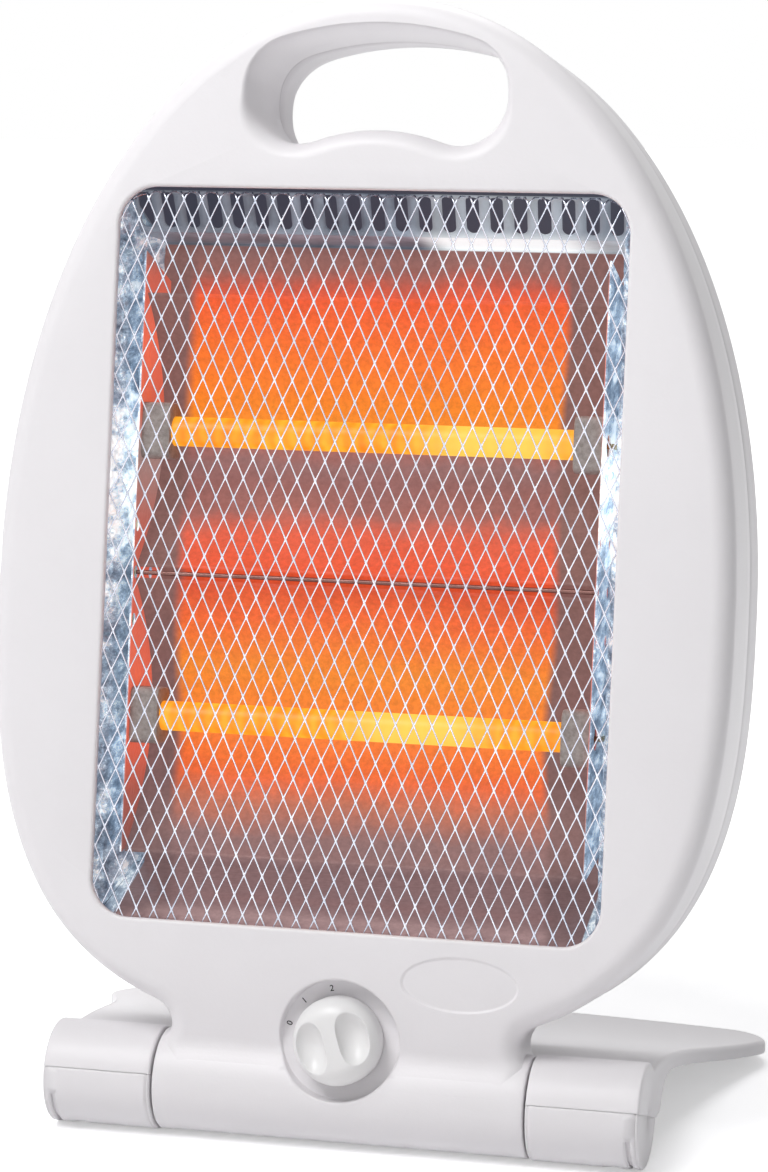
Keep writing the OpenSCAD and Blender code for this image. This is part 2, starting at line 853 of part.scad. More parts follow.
// End plate of the troughs at one side: it has tube holes, small holes and a foot on the tray
module end_plate(side) {
  color(alu) in_head() at_side(side) difference() {
    union() {
      across(plate_in_x, end_plate_x) polygon([
        [-plate_front, plate_low], [tray_floor_y, plate_low + plate_slope],
        [tray_floor_y, plate_high - plate_slope], [-plate_front, plate_high]
      ]);
      for (rise = [-1, 1])
        translate([rivet_x, tray_floor_y - sheet, tube_mid_z + rise * rivet_rise])
          translate([-plate_foot / 2, 0, -plate_foot / 2]) cube([plate_foot + merge, sheet, plate_foot]);
    }
    for (z = [upper_tube_z, lower_tube_z])
      translate([0, tube_y, z]) rod_x(plate_tube_r, plate_in_x - over, end_plate_x + over);
    for (i = [-1 : 1], j = [-1, 1])
      translate([0, tube_y + (4 * j + 1) * 2, tube_mid_z + i * 16])
        rod_x(plate_hole_r, plate_in_x - over, end_plate_x + over);
    at_rivets() rod_y(rivet_r, 0, tray_back);
  }
}

module left_end_plate() end_plate(-1);
module right_end_plate() end_plate(1);

// Rivets that hold the end plates' feet to the tray's floor
module plate_rivets() {
  color(steel) in_head() at_rivets() union() {
    rod_y(rivet_r, tray_floor_y - sheet - rivet_head_h, tray_back + rivet_head_h);
    rod_y(rivet_head_r, tray_floor_y - sheet - rivet_head_h, tray_floor_y - sheet);
    rod_y(rivet_head_r, tray_back, tray_back + rivet_head_h);
  }
}

module guard_rod() {
  color(chrome) in_head() translate([0, guard_y, tube_mid_z]) rod_x(guard_r, -plate_in_x, plate_in_x);
}

// ---- tubes -----------------------------------------------------------------------------------------

module tube(z) {
  color(quartz) in_head() translate([0, tube_y, z]) difference() {
    rod_x(tube_r, -tube_half, tube_half);
    rod_x(tube_r - tube_wall, -tube_half - over, tube_half + over);
  }
}

module upper_tube() tube(upper_tube_z);
module lower_tube() tube(lower_tube_z);

// Winding with a pin at each end that passes the holder and the end plate
module winding(z) {
  color(glow) in_head() translate([0, tube_y, z]) union() {
    rod_x(winding_r, -tube_free / 2 + winding_margin, tube_free / 2 - winding_margin);
    rod_x(pin_r, -end_plate_x - pin_out, end_plate_x + pin_out);
  }
}

module upper_winding() winding(upper_tube_z);
module lower_winding() winding(lower_tube_z);

// Ceramic block that holds one end of a tube against the end plate
module holder(side, z) {
  color(ceramic) in_head() translate([0, tube_y, z]) at_side(side) difference() {
    across(tube_free / 2, plate_in_x)
      polygon(rounded(-holder_deep / 2, -holder_h / 2, holder_deep, holder_h, holder_round));
    rod_x(tube_r, tube_free / 2 - over, tube_half);
    rod_x(pin_r, tube_free / 2, end_plate_x);
  }
}

module upper_left_holder() holder(-1, upper_tube_z);
module upper_right_holder() holder(1, upper_tube_z);
module lower_left_holder() holder(-1, lower_tube_z);
module lower_right_holder() holder(1, lower_tube_z);

// ---- inside the head ---------------------------------------------------------------------------------

module at_shield_screws() {
  both_sides() for (z = shield_post_zs) at([shield_post_x, z]) children();
}

module heat_shield() {
  color(alu) in_head() difference() {
    union() {
      deep(shield_y, shield_y + sheet)
        polygon(rounded(-shield_half, shield_low, 2 * shield_half, shield_h, tray_lip / 2));
      at_shield_screws() rod_y(shield_post_r, tray_back, shield_y + merge);
    }
    at_shield_screws() rod_y(shield_tap_r, tray_floor_y, shield_y + sheet + over);
  }
}

module shield_screws() {
  color(steel) in_head() at_shield_screws() union() {
    rod_y(shield_tap_r, tray_floor_y - merge, shield_y + sheet + merge);
    rod_y(shield_head_r, shield_y + sheet, shield_y + sheet + screw_head_h);
  }
}

module thermal_cutout() {
  color(steel) in_head() translate([0, shield_y + sheet, cutout_z]) union() {
    rod_y(cutout_r, 0, cutout_h);
    translate([-cutout_strap[0] / 2, 0, -cutout_strap[2] / 2]) cube(cutout_strap);
  }
}

module tip_switch() {
  color(bakelite) in_head() difference() {
    translate([tip_x - tip_size[0] / 2, tip_y, tip_z - tip_size[2] / 2]) cube(tip_size);
    for (s = [-1, 1]) at([tip_x + s * tip_post_dx, tip_z])
      rod_y(post_pin_r, tip_y - over, tip_y + post_pin);
  }
}

module terminal_block() {
  back = block_y + block_size[1];
  color(nylon) in_head() difference() {
    translate([block_x - block_size[0] / 2, block_y, block_z - block_size[2] / 2]) cube(block_size);
    for (i = [0 : block_ways - 1])
      at([block_x + (i - (block_ways - 1) / 2) * block_pitch, block_z])
        rod_y(block_way_r, block_y - over, back - post_pin - over);
    for (s = [-1, 1]) at([block_x + s * block_post_dx, block_z])
      rod_y(post_pin_r, back - post_pin, back + over);
  }
}

// ---- switch and knob -----------------------------------------------------------------------------------

module rotary_switch() {
  color(bakelite) in_head() at([0, dial_z]) difference() {
    union() {
      translate([-switch_size[0] / 2, switch_y, switch_low]) cube(switch_size);
      rod_y(collar_r, -dial_front - nut_h, switch_y + merge);
    }
    rod_y(shaft_r + shaft_play, -dial_front - nut_h - over, switch_y + shaft_in + over);
    both_sides() at([switch_screw_x, 0]) rod_y(screw_r, switch_y - over, switch_y + switch_screw_len);
  }
}

module switch_nut() {
  color(steel) in_head() at([0, dial_z]) difference() {
    rod_y(nut_r, -dial_front - nut_h, -dial_front);
    rod_y(collar_r, -dial_front - nut_h - over, -dial_front + over);
  }
}

module switch_screws() {
  color(steel) in_head() both_sides() at([switch_screw_x, dial_z]) union() {
    rod_y(screw_r, -dial_front - merge, switch_y + switch_screw_len);
    rod_y(switch_head_r, -dial_front - switch_head_h, -dial_front);
  }
}

module switch_shaft() {
  color(steel) in_head() at([0, dial_z]) translate([0, -dial_front, 0]) rotate([90, -knob_angle, 0])
    difference() {
      translate([0, 0, -wall - shaft_in]) cylinder(r = shaft_r, h = wall + shaft_in + shaft_out);
      translate([-shaft_r, shaft_r - shaft_flat, hub_deep])
        cube([2 * shaft_r, shaft_r, shaft_out]);
    }
}

// Ring standing on edge whose lowest arc makes a finger dish r deep, half_len to each end
module dish(r, half_len) {
  bow_r = (pow(half_len, 2) + pow(r, 2)) / (2 * r);
  translate([0, 0, bow_r - r]) rotate([0, 90, 0])
    rotate_extrude() translate([bow_r - r, 0]) circle(r);
}
module knob() {
  color(white) in_head() at([0, dial_z]) translate([0, -dial_front, 0]) rotate([90, -knob_angle, 0])
    difference() {
      rotate_extrude() polygon(concat(
        [[0, knob_gap], [knob_r, knob_gap]],
        arc(knob_r - knob_round, knob_skirt, knob_round, 0, 90, corner_steps),
        [[0, knob_h]]
      ));
      for (s = [-1, 1]) translate([s * (grip_w / 2 + dish_r), 0, knob_h]) dish(dish_r, dish_len / 2);
      translate([0, 0, knob_gap - over])
        cylinder(r = knob_r - knob_wall, h = knob_hollow + over);
      difference() {
        cylinder(r = shaft_r, h = shaft_out);
        translate([-shaft_r, shaft_r - shaft_flat, hub_deep]) cube([2 * shaft_r, shaft_r, shaft_out]);
      }
    }
}

// ---- inlet, leads, screws --------------------------------------------------------------------------------

module inlet_grommet() {
  color(rubber) in_head() at([inlet_x, inlet_z]) difference() {
    union() {
      rod_y(inlet_r, rear_back - grommet_in, rear_back + flange_t);
      rod_y(inlet_r + flange_w, rear_back, rear_back + flange_t);
      rod_y(inlet_r + flange_w / 2, rear_back - grommet_in, rear_back - wall);
    }
    rod_y(cord_r, rear_back - grommet_in - over, rear_back + flange_t + over);
  }
}

// Round lead through a list of corners
module lead(points) {
  for (i = [0 : len(points) - 2])
    let (d = points[i + 1] - points[i], l = norm(d))
      translate(points[i]) rotate([0, acos(d[2] / l), atan2(d[1], d[0])])
        cylinder(r = lead_r, h = l);
  for (i = [1 : len(points) - 2]) translate(points[i]) sphere(r = lead_r * lead_joint, $fn = 24);
}

// Corners of the leads, named by what they meet
switch_back = switch_y + switch_size[1];
switch_lead_z = 28;
block_top = block_z + block_size[2] / 2;
block_low = block_z - block_size[2] / 2;
block_side = block_x - block_size[0] / 2;
upper_cross_z = 60;
lower_cross_z = 64;
upper_lead_x = 8;
lower_lead_x = -2;
supply_lead_x = -8;
supply_from_x = -28;
supply_y = 25;
supply_cross_z = 44;
tip_from_x = -38;
tip_lead = [2, 28, 52];
cutout_lead = [36, 86, -42, 30];

module tube_leads() {
  color(lead_tan) in_head() {
    // common lead of both tubes to the terminal block
    lead([[-lead_x, tube_y, upper_tube_z], [-lead_x, tube_y, lower_tube_z],
          [-lead_x, upper_run_y, lower_tube_z], [-lead_x, upper_run_y, block_z],
          [block_side, upper_run_y, block_z]]);
    // switched lead of each tube
    lead([[lead_x, tube_y, upper_tube_z], [lead_x, upper_run_y, upper_tube_z],
          [lead_x, upper_run_y, upper_cross_z], [upper_lead_x, upper_run_y, upper_cross_z],
          [upper_lead_x, upper_run_y, switch_lead_z], [upper_lead_x, switch_back, switch_lead_z]]);
    lead([[lead_x, tube_y, lower_tube_z], [lead_x, lower_run_y, lower_tube_z],
          [lead_x, lower_run_y, lower_cross_z], [lower_lead_x, lower_run_y, lower_cross_z],
          [lower_lead_x, lower_run_y, switch_lead_z], [lower_lead_x, switch_back, switch_lead_z]]);
  }
}

module supply_leads() {
  tip_top = tip_z + tip_size[2] / 2;
  color(lead_grey) in_head() {
    // terminal block to switch
    lead([[supply_from_x, supply_y, block_low], [supply_from_x, supply_y, supply_cross_z],
          [supply_lead_x, supply_y, supply_cross_z], [supply_lead_x, supply_y, switch_lead_z],
          [supply_lead_x, switch_back, switch_lead_z]]);
    // terminal block through the tip-over switch
    lead([[tip_from_x, tip_lead[1], block_low], [tip_from_x, tip_lead[1], tip_lead[2]],
          [tip_x, tip_lead[1], tip_lead[2]], [tip_x, tip_lead[0], tip_lead[2]],
          [tip_x, tip_lead[0], tip_top]]);
    // thermal cut-out to terminal block
    lead([[0, shield_y + sheet + cutout_h, cutout_z], [0, cutout_lead[0], cutout_z],
          [0, cutout_lead[0], cutout_lead[1]], [cutout_lead[2], cutout_lead[0], cutout_lead[1]],
          [cutout_lead[2], cutout_lead[3], cutout_lead[1]], [cutout_lead[2], cutout_lead[3], block_top]]);
  }
}

module shell_screws() {
  color(steel) in_head() at_shell_screws() union() {
    rod_y(screw_r, boss_joint_y - shell_screw_len, screw_ledge_y + merge);
    rod_y(screw_head_r, screw_ledge_y, screw_ledge_y + screw_head_h);
  }
}

module tray_screws() {
  color(steel) in_head() at_tray_screws() union() {
    rod_y(tray_tap_r, -tray_front - tray_screw_tip, -tray_front + sheet + merge);
    rod_y(screw_head_r, -tray_front + sheet, -tray_front + sheet + screw_head_h);
  }
}

// ---- hinge ----------------------------------------------------------------------------------

module hinge_tube() {
  color(steel) in_head() difference() {
    rod_x(pivot_r, -pivot_half, pivot_half);
    rod_x(pivot_r - pivot_wall, -pivot_half - over, pivot_half + over);
  }
}

module bush(side) {
  color(nylon) in_foot() at_side(side) difference() {
    rod_x(bush_r, bush_x, bush_end);
    rod_x(pivot_r + pivot_play, bush_x - over, bush_end + over);
  }
}

module left_bush() bush(-1);
module right_bush() bush(1);

// Friction washer that fills the gap between the head's barrel and the foot's
module spring_washer(side) {
  color(steel) in_head() at_side(side) difference() {
    rod_x(pivot_r + washer_w, core_half, wall_x - washer_play);
    rod_x(pivot_r, core_half - over, wall_x);
  }
}

module left_spring_washer() spring_washer(-1);
module right_spring_washer() spring_washer(1);

// ---- foot -----------------------------------------------------------------------------------

// Height of the plate's top over the hinge axis at y
function plate_top(y) = foot_rear_z - barrel_r
  + (foot_front_z - foot_rear_z) * (1 + cos(180 * (y - slope_from) / (foot_back - slope_from))) / 2;

plate_ys = [for (i = [0 : plate_steps]) plate_start + (foot_back - plate_start) * i / plate_steps];

// Side profile of the foot behind the barrel, its top lowered by inset
function foot_profile(inset) = concat(
  [[0, neck_y], [0, plate_top(plate_start) - inset]],
  [for (y = plate_ys) [y, plate_top(y) - inset]],
  [for (i = [plate_steps : -1 : 0]) let (y = plate_ys[i])
    if (y > gusset_y) [y, plate_top(y) - skirt_h + skirt_less * y / foot_back]],
  arc(gusset_y, plate_top(gusset_y) - skirt_h - gusset_r, gusset_r, 90, 165, corner_steps),
  [[barrel_r * cos(parting_tilt), -barrel_r * sin(parting_tilt)], [0, 0]]
);

// Right half of the foot's plan behind the hinge axis, drawn in by inset
function foot_half_plan(inset) = let (
  x = foot_half - inset, y = foot_back - inset, r = foot_corner - inset, b = barrel_half - inset,
  corner_y = y - foot_bow - r, rear_x = x - r + r * cos(corner_turn),
  rear_y = corner_y + r * sin(corner_turn)
) concat(
  [[b, 0]],
  [for (i = [0 : flare_steps - 1]) let (s = i / flare_steps)
    [b + (x - b) * pow(s, flare_power), neck_y + (corner_y - neck_y) * s]],
  arc(x - r, corner_y, r, 0, corner_turn),
  [for (i = [1 : flare_steps]) let (s = 1 - i / flare_steps)
    [rear_x * s, y - (y - rear_y) * pow(s, 2)]]
);

function foot_plan(inset) = let (half = foot_half_plan(inset)) concat(
  half, [for (i = [len(half) - 2 : -1 : 0]) [-half[i][0], half[i][1]]]
);

// Foot's outer solid behind the hinge axis, drawn in at the top and in plan
module foot_solid(top_inset, plan_inset) {
  intersection() {
    across(-foot_half, foot_half) polygon(foot_profile(top_inset));
    linear_extrude(4 * barrel_r, center = true) polygon(foot_plan(plan_inset));
  }
}

// Hollow below the plate
module foot_hollow() {
  intersection() {
    across(-foot_half, foot_half) polygon(concat(
      [[bay_y, floor_z - over], [bay_y, plate_top(bay_y) - foot_wall]],
      [for (y = plate_ys) if (y > bay_y) [y, plate_top(y) - foot_wall]],
      [[foot_back, floor_z - over]]
    ));
    linear_extrude(4 * barrel_r, center = true) polygon(foot_plan(foot_wall));
  }
}

// Space above the parting plane for side 1, below it for side -1
module parting_space(side) {
  rotate([-parting_tilt, 0, 0]) translate([-foot_half, -2 * barrel_r, side > 0 ? 0 : -2 * barrel_r])
    cube([2 * foot_half, 4 * barrel_r, 2 * barrel_r]);
}

// Turns to the parting plane at the cover screw
module at_cover_screw() {
  translate([cover_screw_x, 0, 0]) rotate([-parting_tilt, 0, 0]) children();
}

// Barrel end with two ribs that grip the bush and a boss for the cover screw
module barrel_end() {
  difference() {
    rod_x(barrel_r, wall_x, barrel_half);
    rod_x(hollow_r, wall_x + foot_wall, end_x);
  }
  for (x = [bush_x + bush_rib_in, bush_end - bush_rib_in - rib_t])
    rod_x(hollow_r + merge, x, x + rib_t);
  intersection() {
    at_cover_screw() translate([0, 0, -barrel_r]) cylinder(r = cover_boss_r, h = 2 * barrel_r);
    rod_x(hollow_r + merge, wall_x, barrel_half);
  }
}

// Space of the bush and of the hinge tube in a barrel end
module pivot_space() {
  rod_x(pivot_r + pivot_pass, wall_x - over, pivot_half + over);
  rod_x(bush_r, bush_x, bush_end);
}

module foot_base() {
  color(white) in_foot() difference() {
    union() {
      difference() {
        foot_solid(0, 0);
        foot_hollow();
        rod_x(core_clear_r, -wall_x, wall_x);
        both_sides() rod_x(hollow_r, wall_x + foot_wall, end_x);
      }
      intersection() {
        foot_solid(foot_wall / 2, foot_wall / 2);
        for (x = rib_xs) translate([x - rib_t / 2, core_clear_r + foot_wall, floor_z])
          cube([rib_t, foot_back, 3 * barrel_r]);
      }
      intersection() {
        both_sides() translate([pad_x, pad_y, floor_z + pad_t]) cylinder(r = pad_boss_r, h = barrel_r);
        across(-foot_half, foot_half) polygon(concat(
          [[bay_y, floor_z]], [for (y = plate_ys) if (y > bay_y) [y, plate_top(y) - foot_wall / 2]],
          [[foot_back, floor_z]]
        ));
      }
      intersection() {
        parting_space(1);
        both_sides() barrel_end();
      }
    }
    both_sides() pivot_space();
    both_sides() at_cover_screw() translate([0, 0, -over]) cylinder(r = screw_r, h = cover_bite + over);
  }
}

// Lower half of one barrel end, with a slit beside its end wall
module cover(side) {
  color(white) in_foot() at_side(side) difference() {
    intersection() {
      parting_space(-1);
      barrel_end();
    }
    pivot_space();
    at_cover_screw() {
      translate([0, 0, -barrel_r]) cylinder(r = screw_r, h = 2 * barrel_r);
      translate([0, 0, -barrel_r - over]) cylinder(r = screw_head_r + 0.3, h = cover_seat + over);
    }
    translate([end_x - slit_w, -2 * barrel_r, -2 * barrel_r])
      cube([slit_w, 2 * barrel_r, 2 * barrel_r + slit_z]);
  }
}

module left_cover() cover(-1);
module right_cover() cover(1);

module cover_screws() {
  color(steel) in_foot() both_sides() at_cover_screw() translate([0, 0, cover_seat - barrel_r]) {
    translate([0, 0, -screw_head_h]) cylinder(r = screw_head_r, h = screw_head_h);
    translate([0, 0, -merge]) cylinder(r = screw_r, h = merge + barrel_r - cover_seat + cover_bite);
  }
}

module foot_pads() {
  color(rubber) in_foot() both_sides() translate([pad_x, pad_y, floor_z]) cylinder(r = pad_r, h = pad_t);
}

front_shell();
rear_shell();
grille();
reflector_tray();
upper_reflector();
lower_reflector();
left_end_plate();
right_end_plate();
plate_rivets();
guard_rod();
upper_tube();
lower_tube();
upper_winding();
lower_winding();
upper_left_holder();
upper_right_holder();
lower_left_holder();
lower_right_holder();
heat_shield();
shield_screws();
thermal_cutout();
tip_switch();
terminal_block();
rotary_switch();
switch_nut();
switch_screws();
switch_shaft();
knob();
inlet_grommet();
tube_leads();
supply_leads();
shell_screws();
tray_screws();
hinge_tube();
left_bush();
right_bush();
left_spring_washer();
right_spring_washer();
foot_base();
left_cover();
right_cover();
cover_screws();
foot_pads();
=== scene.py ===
"""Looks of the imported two-tube quartz heater, built in the frame of its CAD model.

Shapes are worked out in millimetres from the hinge axis, X to the right, Y back and Z up.
The head is drawn upright and then leant back, the foot stays level.
"""
import math

import bmesh
import bpy
import numpy as np
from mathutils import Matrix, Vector
from mathutils.geometry import delaunay_2d_cdt


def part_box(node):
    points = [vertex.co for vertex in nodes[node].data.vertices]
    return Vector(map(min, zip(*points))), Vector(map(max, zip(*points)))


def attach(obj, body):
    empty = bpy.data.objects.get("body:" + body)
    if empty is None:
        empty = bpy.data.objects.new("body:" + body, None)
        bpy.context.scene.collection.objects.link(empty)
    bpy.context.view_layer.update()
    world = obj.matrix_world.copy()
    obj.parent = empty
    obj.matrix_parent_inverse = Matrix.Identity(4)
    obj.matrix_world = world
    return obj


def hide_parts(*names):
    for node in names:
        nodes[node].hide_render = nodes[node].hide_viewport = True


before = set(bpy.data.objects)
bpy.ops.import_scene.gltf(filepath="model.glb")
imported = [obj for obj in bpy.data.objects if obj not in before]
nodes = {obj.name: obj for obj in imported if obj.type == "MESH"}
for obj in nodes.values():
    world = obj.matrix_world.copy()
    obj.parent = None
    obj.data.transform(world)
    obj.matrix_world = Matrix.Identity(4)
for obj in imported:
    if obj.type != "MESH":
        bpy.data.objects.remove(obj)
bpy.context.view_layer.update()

LEAN = math.radians(10)
AXIS = np.array([0, -61.0031, 17.5])

# ---- camera ----------------------------------------------------------------------------------


def set_camera(azimuth, elevation, target, distance, focal, width):
    """Camera on a sphere round the target, its lens given by the focal length in pixels."""
    data = bpy.data.cameras.new("photo_camera")
    camera = bpy.data.objects.new("photo_camera", data)
    bpy.context.scene.collection.objects.link(camera)
    out = Vector((
        math.sin(azimuth) * math.cos(elevation),
        -math.cos(azimuth) * math.cos(elevation),
        math.sin(elevation),
    ))
    camera.location = Vector(target) + out * distance
    camera.rotation_euler = out.to_track_quat("Z", "Y").to_euler()
    data.sensor_fit = "HORIZONTAL"
    data.sensor_width = 36
    data.lens = 36 * focal / width
    data.clip_start = 0.05
    data.clip_end = 30
    bpy.context.scene.camera = camera


# fitted to the photo: angles in radians, metres, and the focal length in pixels of its width
set_camera(azimuth=0.2518, elevation=0.1773, target=(0.012749, -0.0610031, 0.190459),
           distance=1.1517, focal=3533.1, width=768)

# ---- places ----------------------------------------------------------------------------------


def xyz(*parts):
    """Points from coordinates that are spread over each other's shape."""
    return np.stack(np.broadcast_arrays(*parts), -1)


def in_head(p):
    """Upright head geometry leant back round the hinge axis, in metres."""
    x, y, z = np.moveaxis(np.asarray(p, float), -1, 0)
    c, s = math.cos(LEAN), math.sin(LEAN)
    return (xyz(x, y * c + z * s, z * c - y * s) + AXIS) / 1000


def in_foot(p):
    """Foot geometry set down on the floor, in metres."""
    return (np.asarray(p, float) + AXIS) / 1000


# ---- meshes ----------------------------------------------------------------------------------


WELD, TINY_EDGE = 2e-6, 1e-7


class Skin:
    """Grids and fills in millimetres that are welded into one mesh."""

    def __init__(self):
        self.points, self.faces, self.count = [], [], 0

    def add(self, points, faces, away=None, toward=None, along=None):
        """Adds faces, turned so that on the whole they face away from a point, toward one or
        along a vector."""
        points = np.asarray(points, float)
        faces = np.asarray(faces)
        a, b, c = (points[faces[:, i]] for i in (0, 1, 2))
        n = np.cross(b - a, c - a)
        if faces.shape[1] == 4:
            n = n + np.cross(c - a, points[faces[:, 3]] - a)
        if along is None:
            mid = points[faces].mean(1)
            along = mid - away if toward is None else np.asarray(toward) - mid
        if (n * along).sum() < 0:
            faces = faces[:, ::-1]
        self.points.append(points)
        self.faces += (faces + self.count).tolist()
        self.count += len(points)
        return self

    def grid(self, p, around=False, **sense):
        """Adds a surface given as rows of points, closed along each row if it runs around."""
        p = np.asarray(p, float)
        m, n = p.shape[:2]
        i, j = np.meshgrid(np.arange(m - 1), np.arange(n if around else n - 1), indexing="ij")
        k = (j + 1) % n
        quads = np.stack([i * n + j, (i + 1) * n + j, (i + 1) * n + k, i * n + k], -1)
        return self.add(p.reshape(-1, 3), quads.reshape(-1, 4), **sense)

    def prism(self, loop, places, away):
        """Adds a closed loop of Y and Z carried through places along X, with closed ends."""
        self.grid([xyz(x, *loop.T) for x in places], around=True, away=away)
        flat, tris = filled(loop)
        for x, out in ((places[0], -1), (places[-1], 1)):
            self.add(xyz(x, *flat.T), tris, along=(out, 0, 0))

    def mesh(self, name, place):
        mesh = bpy.data.meshes.new(name)
        mesh.from_pydata(place(np.concatenate(self.points)).tolist(), [], self.faces)
        bm = bmesh.new()
        bm.from_mesh(mesh)
        bmesh.ops.remove_doubles(bm, verts=bm.verts, dist=WELD)
        bmesh.ops.dissolve_degenerate(bm, dist=TINY_EDGE, edges=bm.edges)
        bm.to_mesh(mesh)
        bm.free()
        return mesh


def piece(name, skin, place, body, material, replaces=(), wall=0, crease=35,
          inner=None):
    """Makes an object of a skin, with a wall in millimetres behind it where one is asked for."""
    mesh = skin.mesh(name, place)
    mesh.materials.append(material)
    mesh.shade_smooth()
    mesh.set_sharp_from_angle(angle=math.radians(crease))
    obj = bpy.data.objects.new(name, mesh)
    bpy.context.scene.collection.objects.link(obj)
    if wall:
        solid = obj.modifiers.new("wall", "SOLIDIFY")
        solid.thickness = wall / 1000
        solid.offset = -1
        # the inner side of the wall takes the second material, here the painted shade inside
        if inner:
            mesh.materials.append(inner)
            solid.material_offset = 1
    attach(obj, body)
    if replaces:
        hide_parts(*replaces)
    return obj


def inside(points, loop):
    """Which plane points lie inside a closed loop, by counting the edges that a ray crosses."""
    x, y = points[:, 0:1], points[:, 1:2]
    a, b = loop, np.roll(loop, -1, 0)
    spans = (a[:, 1] > y) != (b[:, 1] > y)
    with np.errstate(divide="ignore", invalid="ignore"):
        cross = a[:, 0] + (y - a[:, 1]) / (b[:, 1] - a[:, 1]) * (b[:, 0] - a[:, 0])
    return (spans & (x < cross)).sum(1) % 2 == 1


def filled(outer, holes=(), extra=()):
    """Plane triangles between a closed outer loop and its holes, with extra points inside."""
    loops = [np.asarray(loop, float) for loop in (outer, *holes)]
    edges, start = [], 0
    for loop in loops:
        n = len(loop)
        edges += [(start + i, start + (i + 1) % n) for i in range(n)]
        start += n
    points = np.concatenate(loops + [np.asarray(e, float) for e in extra])
    out = delaunay_2d_cdt([Vector(p) for p in points], edges, [], 0, 1e-7)
    flat = np.array([tuple(v) for v in out[0]])
    tris = np.array(out[2])
    mid = flat[tris].mean(1)
    good = inside(mid, loops[0])
    for hole in loops[1:]:
        good &= ~inside(mid, hole)
    return flat, tris[good]


def normals(curve, closed):
    """Unit normals to the right of a plane curve's direction of travel."""
    if closed:
        t = np.roll(curve, -1, 0) - np.roll(curve, 1, 0)
    else:
        t = np.gradient(curve, axis=0)
    t /= np.linalg.norm(t, axis=1, keepdims=True)
    return xyz(t[:, 1], -t[:, 0])


def even_steps(curve, step, closed=False):
    """The same plane curve with points at even distances."""
    if closed:
        curve = np.concatenate([curve, curve[:1]])
    s = np.concatenate([[0], np.cumsum(np.linalg.norm(np.diff(curve, axis=0), axis=1))])
    n = max(int(round(s[-1] / step)), 8)
    at = np.linspace(0, s[-1], n + 1)
    if closed:
        at = at[:-1]
    return xyz(*(np.interp(at, s, part) for part in curve.T))


def arc(x, z, r, start, end, steps):
    """Points of an arc between two angles in degrees."""
    a = np.radians(np.linspace(start, end, steps + 1))
    return xyz(x + r * np.cos(a), z + r * np.sin(a))


def circle(steps):
    """Angles of a whole turn."""
    return np.radians(np.linspace(0, 360, steps, endpoint=False))


def lattice(a, b):
    """All plane points with one coordinate of a and one of b."""
    return xyz(*(part.ravel() for part in np.meshgrid(a, b)))


def round_rectangle(x0, z0, w, h, r, steps=10):
    """Closed outline of a rectangle with round corners, counter-clockwise."""
    return np.concatenate([
        arc(x0 + w - r, z0 + h - r, r, 0, 90, steps),
        arc(x0 + r, z0 + h - r, r, 90, 180, steps),
        arc(x0 + r, z0 + r, r, 180, 270, steps),
        arc(x0 + w - r, z0 + r, r, 270, 360, steps),
    ])


def smooth_step(x, low, high):
    """0 below one limit and 1 above the other, with a soft S between them."""
    t = np.clip((x - low) / (high - low), 0, 1)
    return t * t * (3 - 2 * t)


def soft_max(a, b, k):
    """The larger of two values, rounded off over a width k where they cross."""
    h = np.clip(0.5 + (a - b) / (2 * k), 0, 1)
    return b + (a - b) * h + k * h * (1 - h)


QUARTER = np.radians(np.linspace(0, 90, 10))
FINE = np.radians(np.linspace(0, 90, 24))

# ---- head shells -----------------------------------------------------------------------------

HALF, MID, ABOVE, BELOW = 126, 165, 199.9, 146
FACE, SEAM, REAR, NECK_BACK = 20, 16, 45, 10
FRONT_ROUND, REAR_ROUND = 7, 11
CORE_R, CORE_HALF = 17.1, 63.6
DIAL_Z, DIAL_R, DIAL_FLOOR = 19, 20.3, 11.2
OPENING, OPENING_R, OPENING_LIP = (-87, 55.5, 174, 245), 13, 1.2
DIAL_LIP, SHAFT_HOLE, AXLE_HOLE = 0.8, 4.7, 7.2
OVAL = (41, 40.5, 19.5, 9)
NOOK_R = 8
MID_Z = 178
HAND_MID = (0, 10, 332)
EGG_FROM = (24, 31)
SEAM_CUT, SEAM_IN, SEAM_LAND = 0.12, 0.45, 2.4
RIM = 0.8
POINT = 0.01


def egg():
    """Closed outline: a superellipse of power 2.08 above the widest place and 2.8 below it."""
    a = np.radians(np.linspace(-90, 270, 14400, endpoint=False))
    c, s = np.cos(a), np.sin(a)
    low = s < 0
    p = 2 / np.where(low, 2.8, 2.08)
    z = MID + np.where(low, BELOW, ABOVE) * np.sign(s) * np.abs(s) ** p
    return xyz(HALF * np.sign(c) * np.abs(c) ** p, z)


def head_outline():
    """The egg from nook to nook: a concave arc on each side runs from it down to the barrel."""
    outline = egg()
    x = 60 + NOOK_R
    low, high = -10.0, 30.0
    for _ in range(40):
        z = (low + high) / 2
        near = np.hypot(outline[:, 0] - x, outline[:, 1] - z)
        low, high = (z, high) if near.min() > NOOK_R else (low, z)
    touch = int(near.argmin())
    top = math.degrees(math.atan2(outline[touch, 1] - z, outline[touch, 0] - x))
    nook = arc(x, z, NOOK_R, 235, top, 40)
    nook = np.concatenate([[[nook[0, 0] - 0.6, 4], [nook[0, 0] - 0.6, nook[0, 1] - 2]], nook])
    right = outline[touch + 1:len(outline) // 2 + 1]
    half = np.concatenate([nook, right])
    left = half[::-1][1:] * [-1, 1]
    return even_steps(np.concatenate([half, left]), 2)


def sink(z):
    """How far the face lies back below the opening."""
    return np.where(z < 62, 6.5 * ((62 - z) / 43) ** 2, 0)


def rear_sink(z):
    """How far the back lies forward near its lower end."""
    return np.where(z < 78, 14 * ((78 - z) / 78) ** 2, 0)


